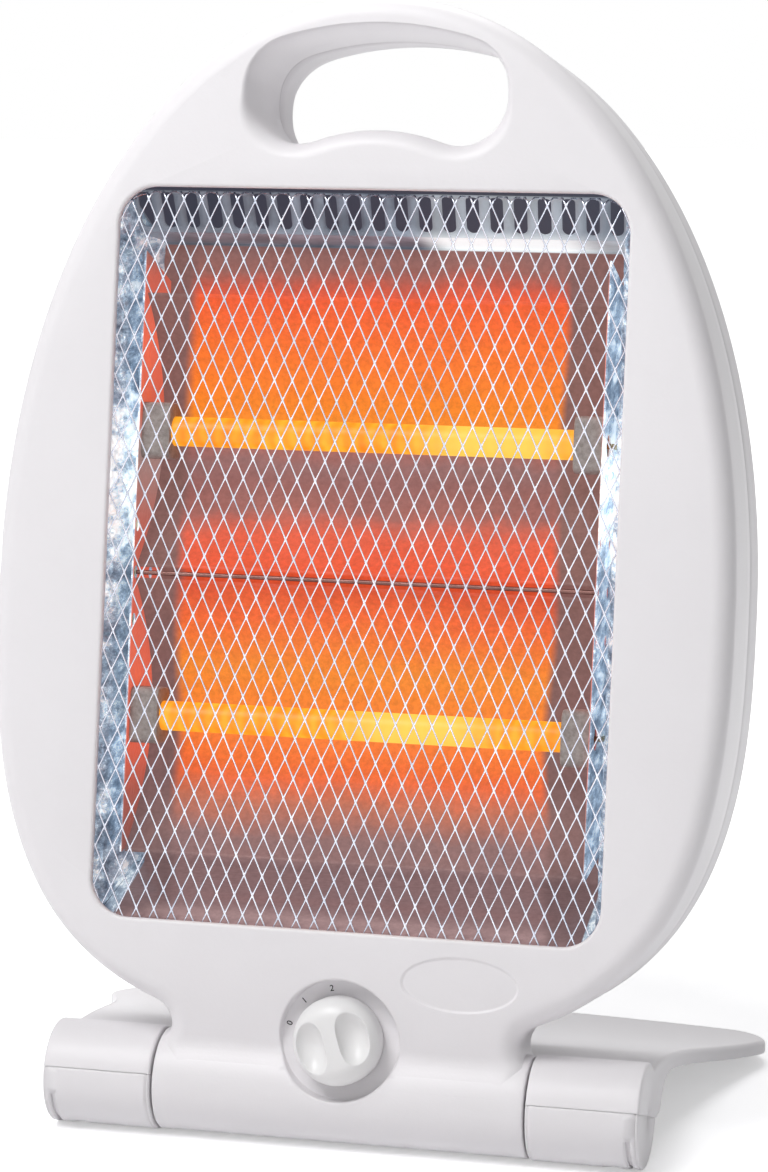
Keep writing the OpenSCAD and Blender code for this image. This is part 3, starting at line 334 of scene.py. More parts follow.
def face_y(x, z):
    """Depth of the front: a flat face that sinks towards the dial and runs softly into the barrel,
    with an oval field pressed in beside the dial."""
    barrel = np.sqrt(np.clip(CORE_R ** 2 - z ** 2, 0, None))
    y = -soft_max(FACE - sink(z), barrel, 5)
    q = np.hypot((x - OVAL[0]) / OVAL[2], (z - OVAL[1]) / OVAL[3])
    slope = np.hypot((x - OVAL[0]) / OVAL[2] ** 2, (z - OVAL[1]) / OVAL[3] ** 2)
    slope = slope / np.maximum(q, 1e-6)
    return y + 0.55 * smooth_step((1 - q) / np.maximum(slope, 1e-6), -0.5, 0.5)


def hand_loop(out=0.0):
    """Outline of the hand hole, grown by a distance that may change along it: two round ends, an
    arched top and an arched sill."""
    end_x, low_z, high_z, end_r, top, sill = 27.5, 331.5, 335, 15.5, 354.6, 321
    rise, fall = top - high_z, low_z - sill
    top_r = (end_x ** 2 + rise ** 2 - end_r ** 2) / (2 * (rise - end_r))
    sill_r = (end_x ** 2 + fall ** 2 - end_r ** 2) / (2 * (end_r - fall))
    top_a = math.degrees(math.atan2(top_r - rise, end_x))
    sill_a = math.degrees(math.atan2(sill_r + fall, end_x))
    loop = np.concatenate([
        arc(end_x, low_z, end_r, sill_a - 180, 0, 30),
        arc(end_x, high_z, end_r, 0, top_a - 12, 30),
        arc(0, top - top_r, top_r, top_a, 180 - top_a, 40),
        arc(-end_x, high_z, end_r, 192 - top_a, 180, 30),
        arc(-end_x, low_z, end_r, 180, 360 - sill_a, 30),
        arc(0, sill - sill_r, sill_r, 176 - sill_a, sill_a + 4, 40),
    ])
    loop = even_steps(loop, 1.1, closed=True)
    for _ in range(6):
        loop = (np.roll(loop, 1, 0) + 2 * loop + np.roll(loop, -1, 0)) / 4
    return loop + normals(loop, True) * np.broadcast_to(out, len(loop))[:, None]


def hand_lip():
    """Width and depth of the hole's front rounding: broad along the sill, small along the top."""
    z = hand_loop()[:, 1]
    low = smooth_step(z, 334, 319)
    return 3 + 3.2 * low - 1.8 * smooth_step(z, 332, 354), 14 - 6 * low


def ring(loop, y):
    """A plane curve given as X, Z lifted to the depth y."""
    return xyz(loop[:, 0], y, loop[:, 1])


def beside(loop):
    """Three loops close to an edge, which keep the shading of the flat face out of its rounding."""
    return [loop + normals(loop, True) * d for d in (0.25, 0.7, 1.6)]


def in_from(outer, closed):
    """Three loops just inside the outer edge of a face, for the same reason."""
    return [outer - normals(outer, closed) * d for d in (0.3, 0.9, 2)]


def rolled_in(loop, r):
    """Rows over the small rounding of a hole in the face, from the flat down to the hole's wall."""
    n = normals(loop, True)
    grown = [(loop + n * r * (1 - math.sin(u)), r * (1 - math.cos(u))) for u in QUARTER[::3]]
    return [ring(p, face_y(*p.T) + deep) for p, deep in grown]


def on_barrel(x, turn, r):
    """Places on a cylinder round the hinge axis, turned up from the front."""
    return xyz(x, -r * np.cos(turn), r * np.sin(turn))


def front_shell():
    """Face, edge, side wall, hand hole, opening and dial of the front moulding."""
    skin = Skin()
    outline = head_outline()
    n = normals(outline, False)
    level = smooth_step(outline[:, 1:], 24, 17)
    n = n * (1 - level) + np.sign(outline[:, :1]) * [1, 0] * level
    n /= np.linalg.norm(n, axis=1, keepdims=True)
    rows = []
    for u in QUARTER:
        p = outline - n * FRONT_ROUND * (1 - math.sin(u))
        rows.append(ring(p, FRONT_ROUND * (1 - math.cos(u)) + face_y(*p.T)))
    back = NECK_BACK + (SEAM - NECK_BACK) * smooth_step(outline[:, 1], *EGG_FROM)
    side = rows[-1][:, 1]
    rows += [ring(outline, side + (back - 0.5 - side) * share) for share in (0.25, 0.5, 0.75, 1)]
    rows += [ring(outline - n * inset, back + dy)
             for inset, dy in ((SEAM_CUT, -0.2), (SEAM_IN, 0), (SEAM_LAND, 0))]
    skin.grid(rows, away=(0, 60, MID_Z))

    # flat and dished face between all the edges
    opening = round_rectangle(*OPENING, OPENING_R, 14)
    lip = opening + normals(opening, True) * OPENING_LIP
    lip_wide, lip_deep = hand_lip()
    flare = hand_loop(lip_wide)
    dial = arc(0, DIAL_Z, DIAL_R + DIAL_LIP, 0, 360, 120)[:-1]
    outer = outline - n * FRONT_ROUND
    t = circle(200)
    ovals = [xyz(OVAL[0] + (OVAL[2] + d) * np.cos(t), OVAL[1] + (OVAL[3] + d) * np.sin(t))
             for d in (-0.9, -0.5, -0.3, -0.1, 0.1, 0.3, 0.5, 0.9)]
    grid = lattice(np.arange(-100, 101, 4.0), np.arange(9, 62, 1.6))
    q = np.hypot(*((grid - OVAL[:2]) / OVAL[2:]).T)
    flat, tris = filled(outer, (lip, flare, dial), [
        grid[np.abs(q - 1) > 0.09], *ovals, *beside(lip), *beside(flare),
        *(loop[loop[:, 1] > 30] for loop in in_from(outer, False)),
        *(loop[loop[:, 1] > CORE_R + 0.3] for loop in beside(dial))])
    skin.add(ring(flat, face_y(*flat.T)), tris, along=(0, -1, 0))

    # hand hole as far as the seam
    deep = [(lip_wide * (1 - math.sin(u)), -FACE + lip_deep * (1 - math.cos(u))) for u in QUARTER]
    deep += [(0, -FACE + lip_deep + (SEAM + FACE - lip_deep) * s) for s in (0.35, 0.7, 0.985)]
    deep += [(SEAM_CUT, SEAM - 0.2), (SEAM_IN, SEAM), (SEAM_LAND, SEAM)]
    skin.grid([ring(hand_loop(out), y) for out, y in deep], around=True, toward=HAND_MID)

    # edge of the opening
    skin.grid([*rolled_in(opening, OPENING_LIP), ring(opening, -FACE + 2.5)], around=True,
              along=(0, -1, 0))

    # dial recess with its floor
    floor = [(DIAL_R, -0.6), (DIAL_R - 0.2, -0.2), (DIAL_R - 0.6, 0), (SHAFT_HOLE, 0),
             (SHAFT_HOLE, 2)]
    rounds = [(arc(0, DIAL_Z, r, 0, 360, 120)[:-1], deep) for r, deep in floor]
    skin.grid([*rolled_in(rounds[0][0], DIAL_LIP),
               *(ring(loop, deep - DIAL_FLOOR) for loop, deep in rounds)],
              around=True, along=(0, -1, 0))

    # front half of the barrel: a fill in X and arc length, bent round the axis
    half, turn = CORE_HALF - RIM, CORE_R * math.pi / 2
    x, up = np.linspace(-half, half, 60), np.linspace(-turn, turn, 60)
    box = np.concatenate([xyz(x, -turn), xyz(half, up)[1:], xyz(x[::-1], turn)[1:],
                          xyz(-half, up[::-1])[1:-1]])
    low = dial[np.abs(dial[:, 1]) < CORE_R - 0.05]
    low = low[np.argsort(low[:, 0])]
    low = xyz(low[:, 0], CORE_R * np.arcsin(low[:, 1] / CORE_R))
    tongue = np.concatenate([low, [[low[-1, 0], turn + 2], [low[0, 0], turn + 2]]])
    grid = lattice(x[1:-1], up[1:-1])
    far = np.hypot(grid[:, 0], CORE_R * np.sin(grid[:, 1] / CORE_R) - DIAL_Z) > DIAL_R + 1.3
    flat, tris = filled(box, (tongue,), [grid[far]])
    skin.add(on_barrel(flat[:, 0], flat[:, 1] / CORE_R, CORE_R), tris, away=(0, 0, 0))
    barrel_rims(skin, CORE_R, -CORE_HALF, CORE_HALF, -90, 90, (AXLE_HOLE, AXLE_HOLE))
    return skin


def barrel_rims(skin, r, x_from, x_to, start, end, holes, steps=60):
    """Round rims and end faces of a barrel, between two angles up from the front."""
    a = np.radians(np.linspace(start, end, steps))
    for x, side, hole in ((x_from, -1, holes[0]), (x_to, 1, holes[1])):
        rows = [on_barrel(x - side * RIM * (1 - math.sin(u)), a, r - RIM * (1 - math.cos(u)))
                for u in QUARTER[::3]]
        skin.grid([*rows, on_barrel(x, a, hole)], away=(x - side * 20, 0, 0))


HAND_BACK_DEEP, HAND_DRAFT = 10, 1.5
INLET, INLET_R = (-70, 92), 5.2
WELL_R, WELL_FLOOR_R, WELL_Y = 3.6, 1.6, 24
VENT_W, VENT_H = 26, 4
VENTS = [(x * 32, 150 + i * 12) for i in range(9) for x in range(-2, 3)]
SCREWS = [(s * x, z) for x, z in ((78, 50), (111, 130), (100, 255), (64, 322)) for s in (-1, 1)]


def rear_shell():
    """Back, rear edge, side wall, hand hole, vents and screw wells of the rear moulding."""
    skin = Skin()
    outline = even_steps(egg(), 2, closed=True)
    n = normals(outline, True)
    start = NECK_BACK - 0.5 + (SEAM - NECK_BACK + 0.5) * np.maximum(
        smooth_step(outline[:, 1], *EGG_FROM), smooth_step(np.abs(outline[:, 0]), 66, 72))
    rows = [ring(outline - n * inset, start + dy)
            for inset, dy in ((SEAM_LAND, 0), (SEAM_IN, 0), (SEAM_CUT, 0.2), (0, 0.5))]
    radius = REAR_ROUND * (1 - 0.45 * smooth_step(outline[:, 1:], 320, 350))

    def at(inset, y):
        p = outline - n * radius * inset
        return ring(p, REAR - y * radius[:, 0] - rear_sink(p[:, 1]))

    last, side = rows[-1], at(0, 1)
    rows += [last + (side - last) * s for s in (0.33, 0.66)]
    rows += [at(1 - math.cos(u), 1 - math.sin(u)) for u in QUARTER]
    skin.grid(rows, around=True, away=(0, 10, MID_Z))

    outer = outline - n * radius
    wide = 4.5 - 3 * smooth_step(hand_loop()[:, 1], 334, 350)
    hand = hand_loop(HAND_DRAFT + wide)
    vents = [round_rectangle(x - VENT_W / 2, z - VENT_H / 2, VENT_W, VENT_H, 1.99, 6) for x, z in VENTS]
    wells = [arc(x, z, WELL_R, 0, 360, 24)[:-1] for x, z in SCREWS]
    inlet = arc(*INLET, INLET_R, 0, 360, 32)[:-1]
    grid = lattice(np.arange(-120, 121, 5.0), [*np.arange(32, 80, 3.0), *np.arange(81, 355, 6.0)])
    flat, tris = filled(outer, (hand, *vents, *wells, inlet),
                        [grid, *beside(hand), *in_from(outer, True)])
    skin.add(ring(flat, REAR - rear_sink(flat[:, 1])), tris, along=(0, 1, 0))
    for (x, z), well in zip(SCREWS, wells):
        floor = arc(x, z, WELL_FLOOR_R, 0, 360, 24)[:-1]
        skin.grid([ring(well, REAR - rear_sink(well[:, 1])), ring(well, WELL_Y + 0.2),
                   ring(well + ([x, z] - well) * 0.06, WELL_Y), ring(floor, WELL_Y)],
                  around=True, along=(0, 1, 0))

    deep = [(HAND_DRAFT + wide * (1 - math.cos(u)), REAR - HAND_BACK_DEEP * (1 - math.sin(u)))
            for u in FINE[::-1]]
    deep += [(HAND_DRAFT / 2, 26), (0, SEAM + 0.5), (SEAM_CUT, SEAM + 0.2), (SEAM_IN, SEAM),
             (SEAM_LAND, SEAM)]
    skin.grid([ring(hand_loop(out), y) for out, y in deep], around=True, toward=HAND_MID)

    # rear half of the barrel and the back of the neck
    half, turn = CORE_HALF - RIM, np.radians(np.linspace(90, 270, 60))
    x = np.linspace(-half, half, 40)[:, None]
    skin.grid(on_barrel(x, turn, CORE_R), away=(0, 0, 0))
    barrel_rims(skin, CORE_R, -CORE_HALF, CORE_HALF, 90, 270, (AXLE_HOLE, AXLE_HOLE))
    z = np.linspace(12, 30, 12)
    wide = 60 + NOOK_R - np.sqrt(np.clip(NOOK_R ** 2 - (z - 20.5) ** 2, 0, None))
    wide = np.minimum(wide, half) - 0.4
    s = np.linspace(-1, 1, 30)
    skin.grid(xyz(wide[:, None] * s, NECK_BACK, z[:, None]), along=(0, 1, 0))
    return skin


# ---- foot ------------------------------------------------------------------------------------

BARREL_R, BARREL_HALF, WALL_X = 17.5, 102, 64.4
FOOT_BACK, FOOT_HALF, FOOT_WALL, FOOT_ROUND, PLATE_FROM = 144, 124, 2.6, 1.6, 16.6
SKIRT_Y, SKIRT_R, SKIRT_H = 36.5, 13, 6
PAD_X, PAD_Y, PAD_R = 94, 124, 9
RIB_XS, RIB_HALF = (-75, -45, -15, 15, 45, 75), 1.5
COVER_SCREW, COVER_WELL_R = (92, math.radians(-70)), 3.5
PARTING, PARTING_GAP = math.radians(20), 0.16
CORNER_Y, CORNER_Z = BARREL_R * math.cos(PARTING), -BARREL_R * math.sin(PARTING)


def plate_z(y):
    """Top of the foot plate: a cosine fall from behind the barrel to the rear edge."""
    t = np.clip((y - 5) / (FOOT_BACK - 5), 0, 1)
    return 7 - BARREL_R + 23 * (1 + np.cos(np.pi * t)) / 2


def skirt_z(y):
    """Lower edge of the plate's rim: level with the plate, then a concave arc down to the barrel,
    where it ends on the parting plane."""
    centre_z = float(plate_z(SKIRT_Y)) - SKIRT_H - SKIRT_R
    low = centre_z + np.sqrt(np.clip(SKIRT_R ** 2 - (y - SKIRT_Y) ** 2, 0, None))
    arc_y = SKIRT_Y - SKIRT_R * math.cos(math.radians(15))
    arc_z = centre_z + SKIRT_R * math.sin(math.radians(15))
    line = CORNER_Z + (arc_z - CORNER_Z) * np.clip((y - CORNER_Y) / (arc_y - CORNER_Y), 0, 1)
    rim = plate_z(y) - SKIRT_H + 1.5 * y / FOOT_BACK
    low = np.where(y > SKIRT_Y, rim, np.where(y > arc_y, low, line))
    return np.where(y < CORNER_Y, -y * math.tan(PARTING), low)


def foot_plan():
    """Plan of the plate from one barrel end to the other: flaring sides, round corners and a bowed
    rear edge."""
    corner_r, bow = 18, 8
    corner_y, x0 = FOOT_BACK - bow - corner_r, FOOT_HALF - corner_r
    s = np.linspace(0, 1, 80)
    side = xyz(BARREL_HALF + (FOOT_HALF - BARREL_HALF) * s ** 2.2, 8 + (corner_y - 8) * s)
    corner = arc(x0, corner_y, corner_r, 0, 75, 24)
    s = np.linspace(1, 0, 60)
    rear = xyz(corner[-1, 0] * s, FOOT_BACK - (FOOT_BACK - corner[-1, 1]) * s ** 2)
    half = np.concatenate([side, corner[1:], rear[1:]])
    both = even_steps(np.concatenate([half, half[::-1][1:] * [-1, 1]]), 1.5)
    for _ in range(8):
        both[1:-1] = (both[:-2] + 2 * both[1:-1] + both[2:]) / 4
    return both[both[:, 1] > 12.5]


def foot_plate():
    """One closed skin: the plate's top, its rounded rim, the skirt's lower edge and, a wall
    further in, the skirt's inside and the plate's underside."""
    skin = Skin()
    plan = foot_plan()
    n = normals(plan, False)
    inner = plan - n * FOOT_WALL
    centre = (0, 80, 0)

    def at(inset, z):
        return xyz(*(plan - n * inset).T, z)

    top, low = plate_z(plan[:, 1]), skirt_z(plan[:, 1])
    r = FOOT_ROUND
    rows = [at(r * (1 - math.sin(u)), top - r * (1 - math.cos(u))) for u in QUARTER]
    rows += [at(0, top - r + (low + 0.5 - top + r) * s) for s in (0.33, 0.66, 1)]
    rows += [at(0.15, low + 0.15), at(0.5, low)]
    skin.grid(rows, away=centre)
    skin.grid([at(0.5, low), at(FOOT_WALL - 0.4, low)], along=(0, 0, -1))
    skin.grid([at(FOOT_WALL - 0.4, low), at(FOOT_WALL, low + 0.4),
               at(FOOT_WALL, np.maximum(plate_z(inner[:, 1]) - FOOT_WALL, low + 0.5))],
              toward=centre)
    # the plate stops clear of the head's barrel between the two ends
    side, near = WALL_X + 0.9, plan[:, 1].min()
    notch = even_steps(np.array([[side, near], [side, PLATE_FROM], [-side, PLATE_FROM],
                                 [-side, near]]) * [np.sign(plan[-1, 0]), 1], 2)
    skin.grid([xyz(*notch.T, plate_z(notch[:, 1]) - drop) for drop in (0, FOOT_WALL)], away=centre)
    for inset, drop, up in ((r, 0, 1), (FOOT_WALL, FOOT_WALL, -1)):
        flat, tris = filled(np.concatenate([plan - n * inset, notch]), (),
                            [lattice(np.arange(-120, 121, 5.0), np.arange(14, 144, 3.0))])
        skin.add(xyz(*flat.T, plate_z(flat[:, 1]) - drop), tris, along=(0, 0, up))
    return skin


def barrel_ends(start, end):
    """Barrel ends between two angles up from the front, with round rims and closed outer ends."""
    skin = Skin()
    a = np.radians(np.linspace(start, end, 90))
    for side in (-1, 1):
        x = side * np.linspace(WALL_X + RIM, BARREL_HALF - RIM, 24)[:, None]
        skin.grid(on_barrel(x, a, BARREL_R), away=(side * 83, 0, 0))
        barrel_rims(skin, BARREL_R, *end_places(side), start, end, end_holes(side), 90)
    return skin


def end_places(side):
    return sorted((side * WALL_X, side * BARREL_HALF))


def end_holes(side):
    """The axle's hole is at the inner end, which is the first for the right barrel end."""
    return (POINT, AXLE_HOLE) if side < 0 else (AXLE_HOLE, POINT)


def foot_web():
    """Solid webs between barrel and plate: their side profile carried along X, with closed ends."""
    skin = Skin()
    y = np.linspace(CORNER_Y - 1.5, 24, 14)
    low = xyz(y, skirt_z(y) + np.where(y < CORNER_Y, 0.6, 0))
    y = np.linspace(24, 11, 14)
    high = xyz(y, plate_z(y) - 0.9)
    near, wall = BARREL_HALF - 0.06, WALL_X + 0.9
    for x0, x1, r in ((-near, -wall, 15), (-wall, wall, 18.9), (wall, near, 15)):
        if r > 18:
            keep_low, keep_high = low[np.hypot(*low.T) > r], high[np.hypot(*high.T) > r]
            top = math.degrees(math.atan2(keep_high[-1, 1], keep_high[-1, 0]))
            end = math.degrees(math.atan2(keep_low[0, 1], keep_low[0, 0]))
        else:
            keep_low, keep_high, top, end = low, high, 44, -18
        front = arc(0, 0, r, top, end, 24)
        loop = np.concatenate([keep_low, keep_high, front])
        skin.prism(loop, np.linspace(x0, x1, 4), ((x0 + x1) / 2, 20, 3))
    return skin


def foot_ribs():
    """Six ribs and two pad bosses under the plate, as closed thin blocks."""
    skin = Skin()
    y = np.linspace(21.5, 138, 40)
    low, high = np.maximum(skirt_z(y) + 1.3, -BARREL_R + 0.4), plate_z(y) - 1.3
    loop = np.concatenate([xyz(y, low), xyz(y, high)[::-1]])
    for x in RIB_XS:
        skin.prism(loop, (x - RIB_HALF, x + RIB_HALF), (x, 80, -5))
    t = circle(48)
    foot = -BARREL_R + 1.8
    rows = [(PAD_R, plate_z(PAD_Y + PAD_R * np.sin(t)) - 1.3), (PAD_R, foot + 0.4),
            (PAD_R - 0.4, foot), (POINT, foot)]
    for x in (-PAD_X, PAD_X):
        skin.grid([xyz(x + r * np.cos(t), PAD_Y + r * np.sin(t), z) for r, z in rows],
                  around=True, away=(x, PAD_Y, -8))
    return skin


def end_cover(side):
    """Lower half of a barrel end: a fill in X and arc length with its slit and screw well left
    out, bent round the axis."""
    skin = Skin()
    turns = (-160 + PARTING_GAP, 20 - PARTING_GAP)
    lo, hi = WALL_X + RIM, BARREL_HALF - RIM
    t0, t1 = np.radians(turns) * BARREL_R
    slit = (BARREL_HALF - FOOT_WALL - 1.5, BARREL_HALF - FOOT_WALL)
    arc_low = BARREL_R * math.asin(-3.3 / BARREL_R)
    arc_back = t0 + 1.2
    box, cut = (even_steps(np.array([[x0, y0], [x1, y0], [x1, y1], [x0, y1]]), step, closed=True)
                for x0, y0, x1, y1, step in ((lo, t0, hi, t1, 1.2),
                                             (slit[0], arc_back, slit[1], arc_low, 0.75)))
    screw = np.array([COVER_SCREW[0], COVER_SCREW[1] * BARREL_R])
    well = arc(*screw, COVER_WELL_R, 0, 360, 36)[:-1]
    grid = lattice(np.linspace(lo, hi, 24)[1:-1], np.linspace(t0, t1, 120)[1:-1])
    far = (np.hypot(*(grid - screw).T) > COVER_WELL_R + 0.7) & (np.abs(grid[:, 0] - sum(slit) / 2) > 1.25)
    flat, tris = filled(box, (cut, well), [grid[far]])

    def bend(p):
        return on_barrel(side * p[:, 0], p[:, 1] / BARREL_R, BARREL_R)

    skin.add(bend(flat), tris, away=(side * 83, 0, 0))
    a = np.linspace(arc_back, arc_low + 1, 40) / BARREL_R
    skin.grid([on_barrel(side * x, a, BARREL_R - 1.1) for x in (slit[0] - 0.8, slit[1] + 0.8)],
              away=(side * 83, 0, 0))
    down = np.array([0, -math.sin(PARTING), -math.cos(PARTING)])
    across = np.array([0, -math.cos(PARTING), math.sin(PARTING)])
    local = (well - screw) * [side, 1]
    centre = np.array([side * screw[0], 0, 0]) + down * (BARREL_R - 4)
    floor = centre + local[:, :1] * np.array([1, 0, 0]) + local[:, 1:] * across
    skin.grid([bend(well), floor, centre + (floor - centre) * 0.44], around=True, along=down)
    barrel_rims(skin, BARREL_R, *end_places(side), *turns, end_holes(side), 90)
    return skin


# ---- knob and dial ---------------------------------------------------------------------------

KNOB_R, KNOB_H, KNOB_SKIRT = 14.8, 13, 6
KNOB_TURN = math.radians(18)
DISH_R, DISH_HALF, DISH_FROM, DISH_ROUND = 5.2, 9.5, 2.5, 0.55
NUMBER_R, NUMBER_SIZE, NUMBER_SHIFT, NUMBER_LIFT = 17.7, 2.9, (-0.8, -0.7), 0.06


def on_dial(p):
    """Dial geometry (U right, V up along the pointer, W outwards) set on the leaning dial."""
    u, v, w = np.moveaxis(np.asarray(p, float), -1, 0)
    c, s = math.cos(KNOB_TURN), math.sin(KNOB_TURN)
    return in_head(xyz(u * c - v * s, -DIAL_FLOOR - w, DIAL_Z + u * s + v * c))


def knob_cap():
    """Round cap with two finger dishes: the cap's profile turned round the axis, and pressed in
    wherever the underside of a ring standing on edge lies lower."""
    skin = Skin()
    edge = KNOB_H - KNOB_SKIRT
    u = np.radians(np.linspace(0, 90, 40))
    r = np.concatenate([np.linspace(0.02, KNOB_R - edge, 40), KNOB_R - edge + edge * np.sin(u[1:]),
                        [KNOB_R, KNOB_R, KNOB_R - 0.3, KNOB_R - 1.8]])
    w = np.concatenate([np.full(40, KNOB_H), KNOB_SKIRT + edge * np.cos(u[1:]),
                        [KNOB_SKIRT / 2, 0.9, 0.6, 0.6]])
    w = w + 0.5 * np.cos(np.clip(r / KNOB_R, 0, 1) * math.pi / 2) - 0.35 * (r < KNOB_R - 0.01)
    t = circle(280)
    x, y = r[:, None] * np.cos(t), r[:, None] * np.sin(t)
    z = np.broadcast_to(w[:, None], x.shape).copy()
    top = (np.arange(len(r)) < 76)[:, None]
    bow = (DISH_HALF ** 2 + DISH_R ** 2) / (2 * DISH_R)
    for side in (-1, 1):
        dx = x - side * (DISH_FROM + DISH_R)
        reach = bow - DISH_R + np.sqrt(np.clip(DISH_R ** 2 - dx ** 2, 0, None))
        inner = reach ** 2 - y ** 2
        ok = (np.abs(dx) < DISH_R) & (inner > 0)
        dish = KNOB_H + bow - DISH_R - np.sqrt(np.where(ok, inner, 0))
        dish = np.where(ok, dish, KNOB_H + 9)
        z = np.where(top, -soft_max(-z, -dish, DISH_ROUND), z)
    skin.grid(xyz(x, y, z), around=True, away=(0, 0, 2))
    skin.grid([xyz(x[0], y[0], z[0]), xyz(x[0] * POINT, y[0] * POINT, z[0])], around=True,
              along=(0, 0, 1))
    return skin


def dial_number(text, angle):
    """A flat number on the dial's floor, turned with its place; 0 degrees is straight up."""
    curve = bpy.data.curves.new("number_" + text, "FONT")
    curve.body = text
    curve.size = NUMBER_SIZE
    curve.align_x, curve.align_y = "CENTER", "CENTER"
    curve.resolution_u = 6
    curve.offset = 0.03
    temp = bpy.data.objects.new("number_" + text, curve)
    bpy.context.scene.collection.objects.link(temp)
    bpy.context.view_layer.update()
    shaped = temp.evaluated_get(bpy.context.evaluated_depsgraph_get())
    mesh = bpy.data.meshes.new_from_object(shaped)
    bpy.data.objects.remove(temp)
    co = np.empty(len(mesh.vertices) * 3)
    mesh.vertices.foreach_get("co", co)
    co = co.reshape(-1, 3)
    c, s = math.cos(math.radians(angle)), math.sin(math.radians(angle))
    x = co[:, 0] * c - co[:, 1] * s - NUMBER_R * s + NUMBER_SHIFT[0]
    z = co[:, 0] * s + co[:, 1] * c + NUMBER_R * c + NUMBER_SHIFT[1]
    p = in_head(xyz(x, -DIAL_FLOOR - NUMBER_LIFT, DIAL_Z + z))
    mesh.vertices.foreach_set("co", p.ravel())
    mesh.update()
    return mesh


# ---- front net -------------------------------------------------------------------------------

NET_Y, NET_BEND = -17.5, 2.1
NET_FRAME = (-87.4, 55.9, 174.8, 241.3, 12)
NET_STEP, NET_PHASE = (6.2, 13.2), (0.0, -0.4)
NET_FOLD, NODE_REACH, STRAND_THICK = 6.2, 0.62, 0.24


def over_frame(x, z):
    """A flat net laid over the tray's mouth: what lies past a rounded rectangle is bent back over
    a quarter round and then runs straight back."""
    x0, z0, w, h, r = NET_FRAME
    cx, cz = x0 + w / 2, z0 + h / 2
    qx, qz = np.abs(x - cx) - (w / 2 - r), np.abs(z - cz) - (h / 2 - r)
    ox, oz = np.clip(qx, 0, None), np.clip(qz, 0, None)
    long = np.hypot(ox, oz)
    away = long - r
    corner = long > 1e-9
    nx = np.where(corner, ox / np.maximum(long, 1e-9), 0) * np.sign(x - cx)
    nz = np.where(corner, oz / np.maximum(long, 1e-9), 0) * np.sign(z - cz)
    out = np.clip(away, 0, None)
    turn = np.clip(out / NET_BEND, 0, math.pi / 2)
    reach = NET_BEND * np.sin(turn)
    deep = NET_BEND * (1 - np.cos(turn)) + np.clip(out - NET_BEND * math.pi / 2, 0, None)
    return xyz(x + nx * (reach - out), NET_Y + deep, z + nz * (reach - out)), away


def strand(start, side, thick):
    """Centre points of one strand of the net, cut where it would run past its folded edge."""
    dx, dz = NET_STEP[0] / 2, side * NET_STEP[1] / 2
    long = math.hypot(dx, dz)
    s = np.concatenate([k * 1.0 + np.array([0, 0.09, 0.2, 0.5, 0.8, 0.91]) for k in range(-44, 45)])
    x, z = NET_PHASE[0] + start + dx * s, MID_Z + NET_PHASE[1] + dz * s
    _, away = over_frame(x, z)
    runs = away < NET_FOLD
    if runs.sum() < 6:
        return None
    node = np.abs(s - np.round(s)) * long
    p, _ = over_frame(x[runs], z[runs])
    return p, 0.5 * thick * (1 + 0.75 * np.exp(-(node[runs] / NODE_REACH) ** 2))


def tube_along(p, half_w, half_t, sides):
    """An oval section carried along a path: half_w across the net's plane, half_t through it."""
    t = np.gradient(p, axis=0)
    t /= np.linalg.norm(t, axis=1, keepdims=True)
    facing = np.array([0.0, -1, 0]) + t * t[:, 1:2]
    facing /= np.linalg.norm(facing, axis=1, keepdims=True)
    across = np.cross(t, facing)
    a = np.linspace(0, 2 * math.pi, sides, endpoint=False) + math.pi / sides
    return (p[:, None] + across[:, None] * (half_w[:, None] * np.cos(a))[..., None]
            + facing[:, None] * (half_t * np.sin(a))[None, :, None])


def front_net():
    """Two crossing families of thin flattened strands, a little wider where they meet."""
    skin = Skin()
    count = int((NET_FRAME[2] / NET_STEP[0] + NET_FRAME[3] / NET_STEP[1]) / 2) + 3
    for side, thick, lift in ((-1, 0.56, 0.0), (1, 0.5, 0.07)):
        for i in range(-count, count + 1):
            found = strand((i + 0.5) * NET_STEP[0], side, thick)
            if found is None:
                continue
            p, half_w = found
            rows = tube_along(p + [0, lift, 0], half_w, STRAND_THICK, 6)
            rows = np.concatenate([rows[:1].mean(1, keepdims=True).repeat(6, 1), rows,
                                   rows[-1:].mean(1, keepdims=True).repeat(6, 1)])
            skin.grid(rows, around=True, away=tuple(p.mean(0)))
    return skin


# ---- reflectors and tubes --------------------------------------------------------------------

TUBE_ZS = {"upper": 219.3, "lower": 122.9}
TUBE_Y, TUBE_R, TUBE_END, TUBE_FREE = -3, 5, 75.25, 69.25
TROUGH_HALF, TROUGH_DEEP, TROUGH_END = 46, 24, 79.1


def trough(mid):
    """A parabola across the tube, carried along X, with shallow dents in the thin sheet."""
    skin = Skin()
    z = np.linspace(-TROUGH_HALF, TROUGH_HALF, 90)
    y = 15 - TROUGH_DEEP * (z / TROUGH_HALF) ** 2
    x = np.linspace(-TROUGH_END, TROUGH_END, 60)[:, None]
    dent = 0.10 * np.sin(x / 9 + 0.7 * np.sin(z / 13)) * np.cos(z / 17 + x / 31)
    return skin.grid(xyz(x, y - 0.15 - np.abs(dent), mid + z), along=(0, -1, 0))


def quartz(mid):
    """A round tube drawn in to a flat pinch at each end: the radius as a function of X."""
    skin = Skin()
    e = TUBE_END
    x = np.concatenate([[-e, -e, -e + 0.5, -e + 1.2], np.linspace(-e + 3, e - 3, 70),
                        [e - 1.2, e - 0.5, e, e]])
    r = np.full(len(x), float(TUBE_R))
    r[:4], r[-4:] = (0.05, 3.9, 4.6, 4.95), (4.95, 4.6, 3.9, 0.05)
    t = circle(48)
    x, r = x[:, None], r[:, None]
    return skin.grid(xyz(x, TUBE_Y + r * np.cos(t), mid + r * np.sin(t)), around=True,
                     away=(0, TUBE_Y, mid))


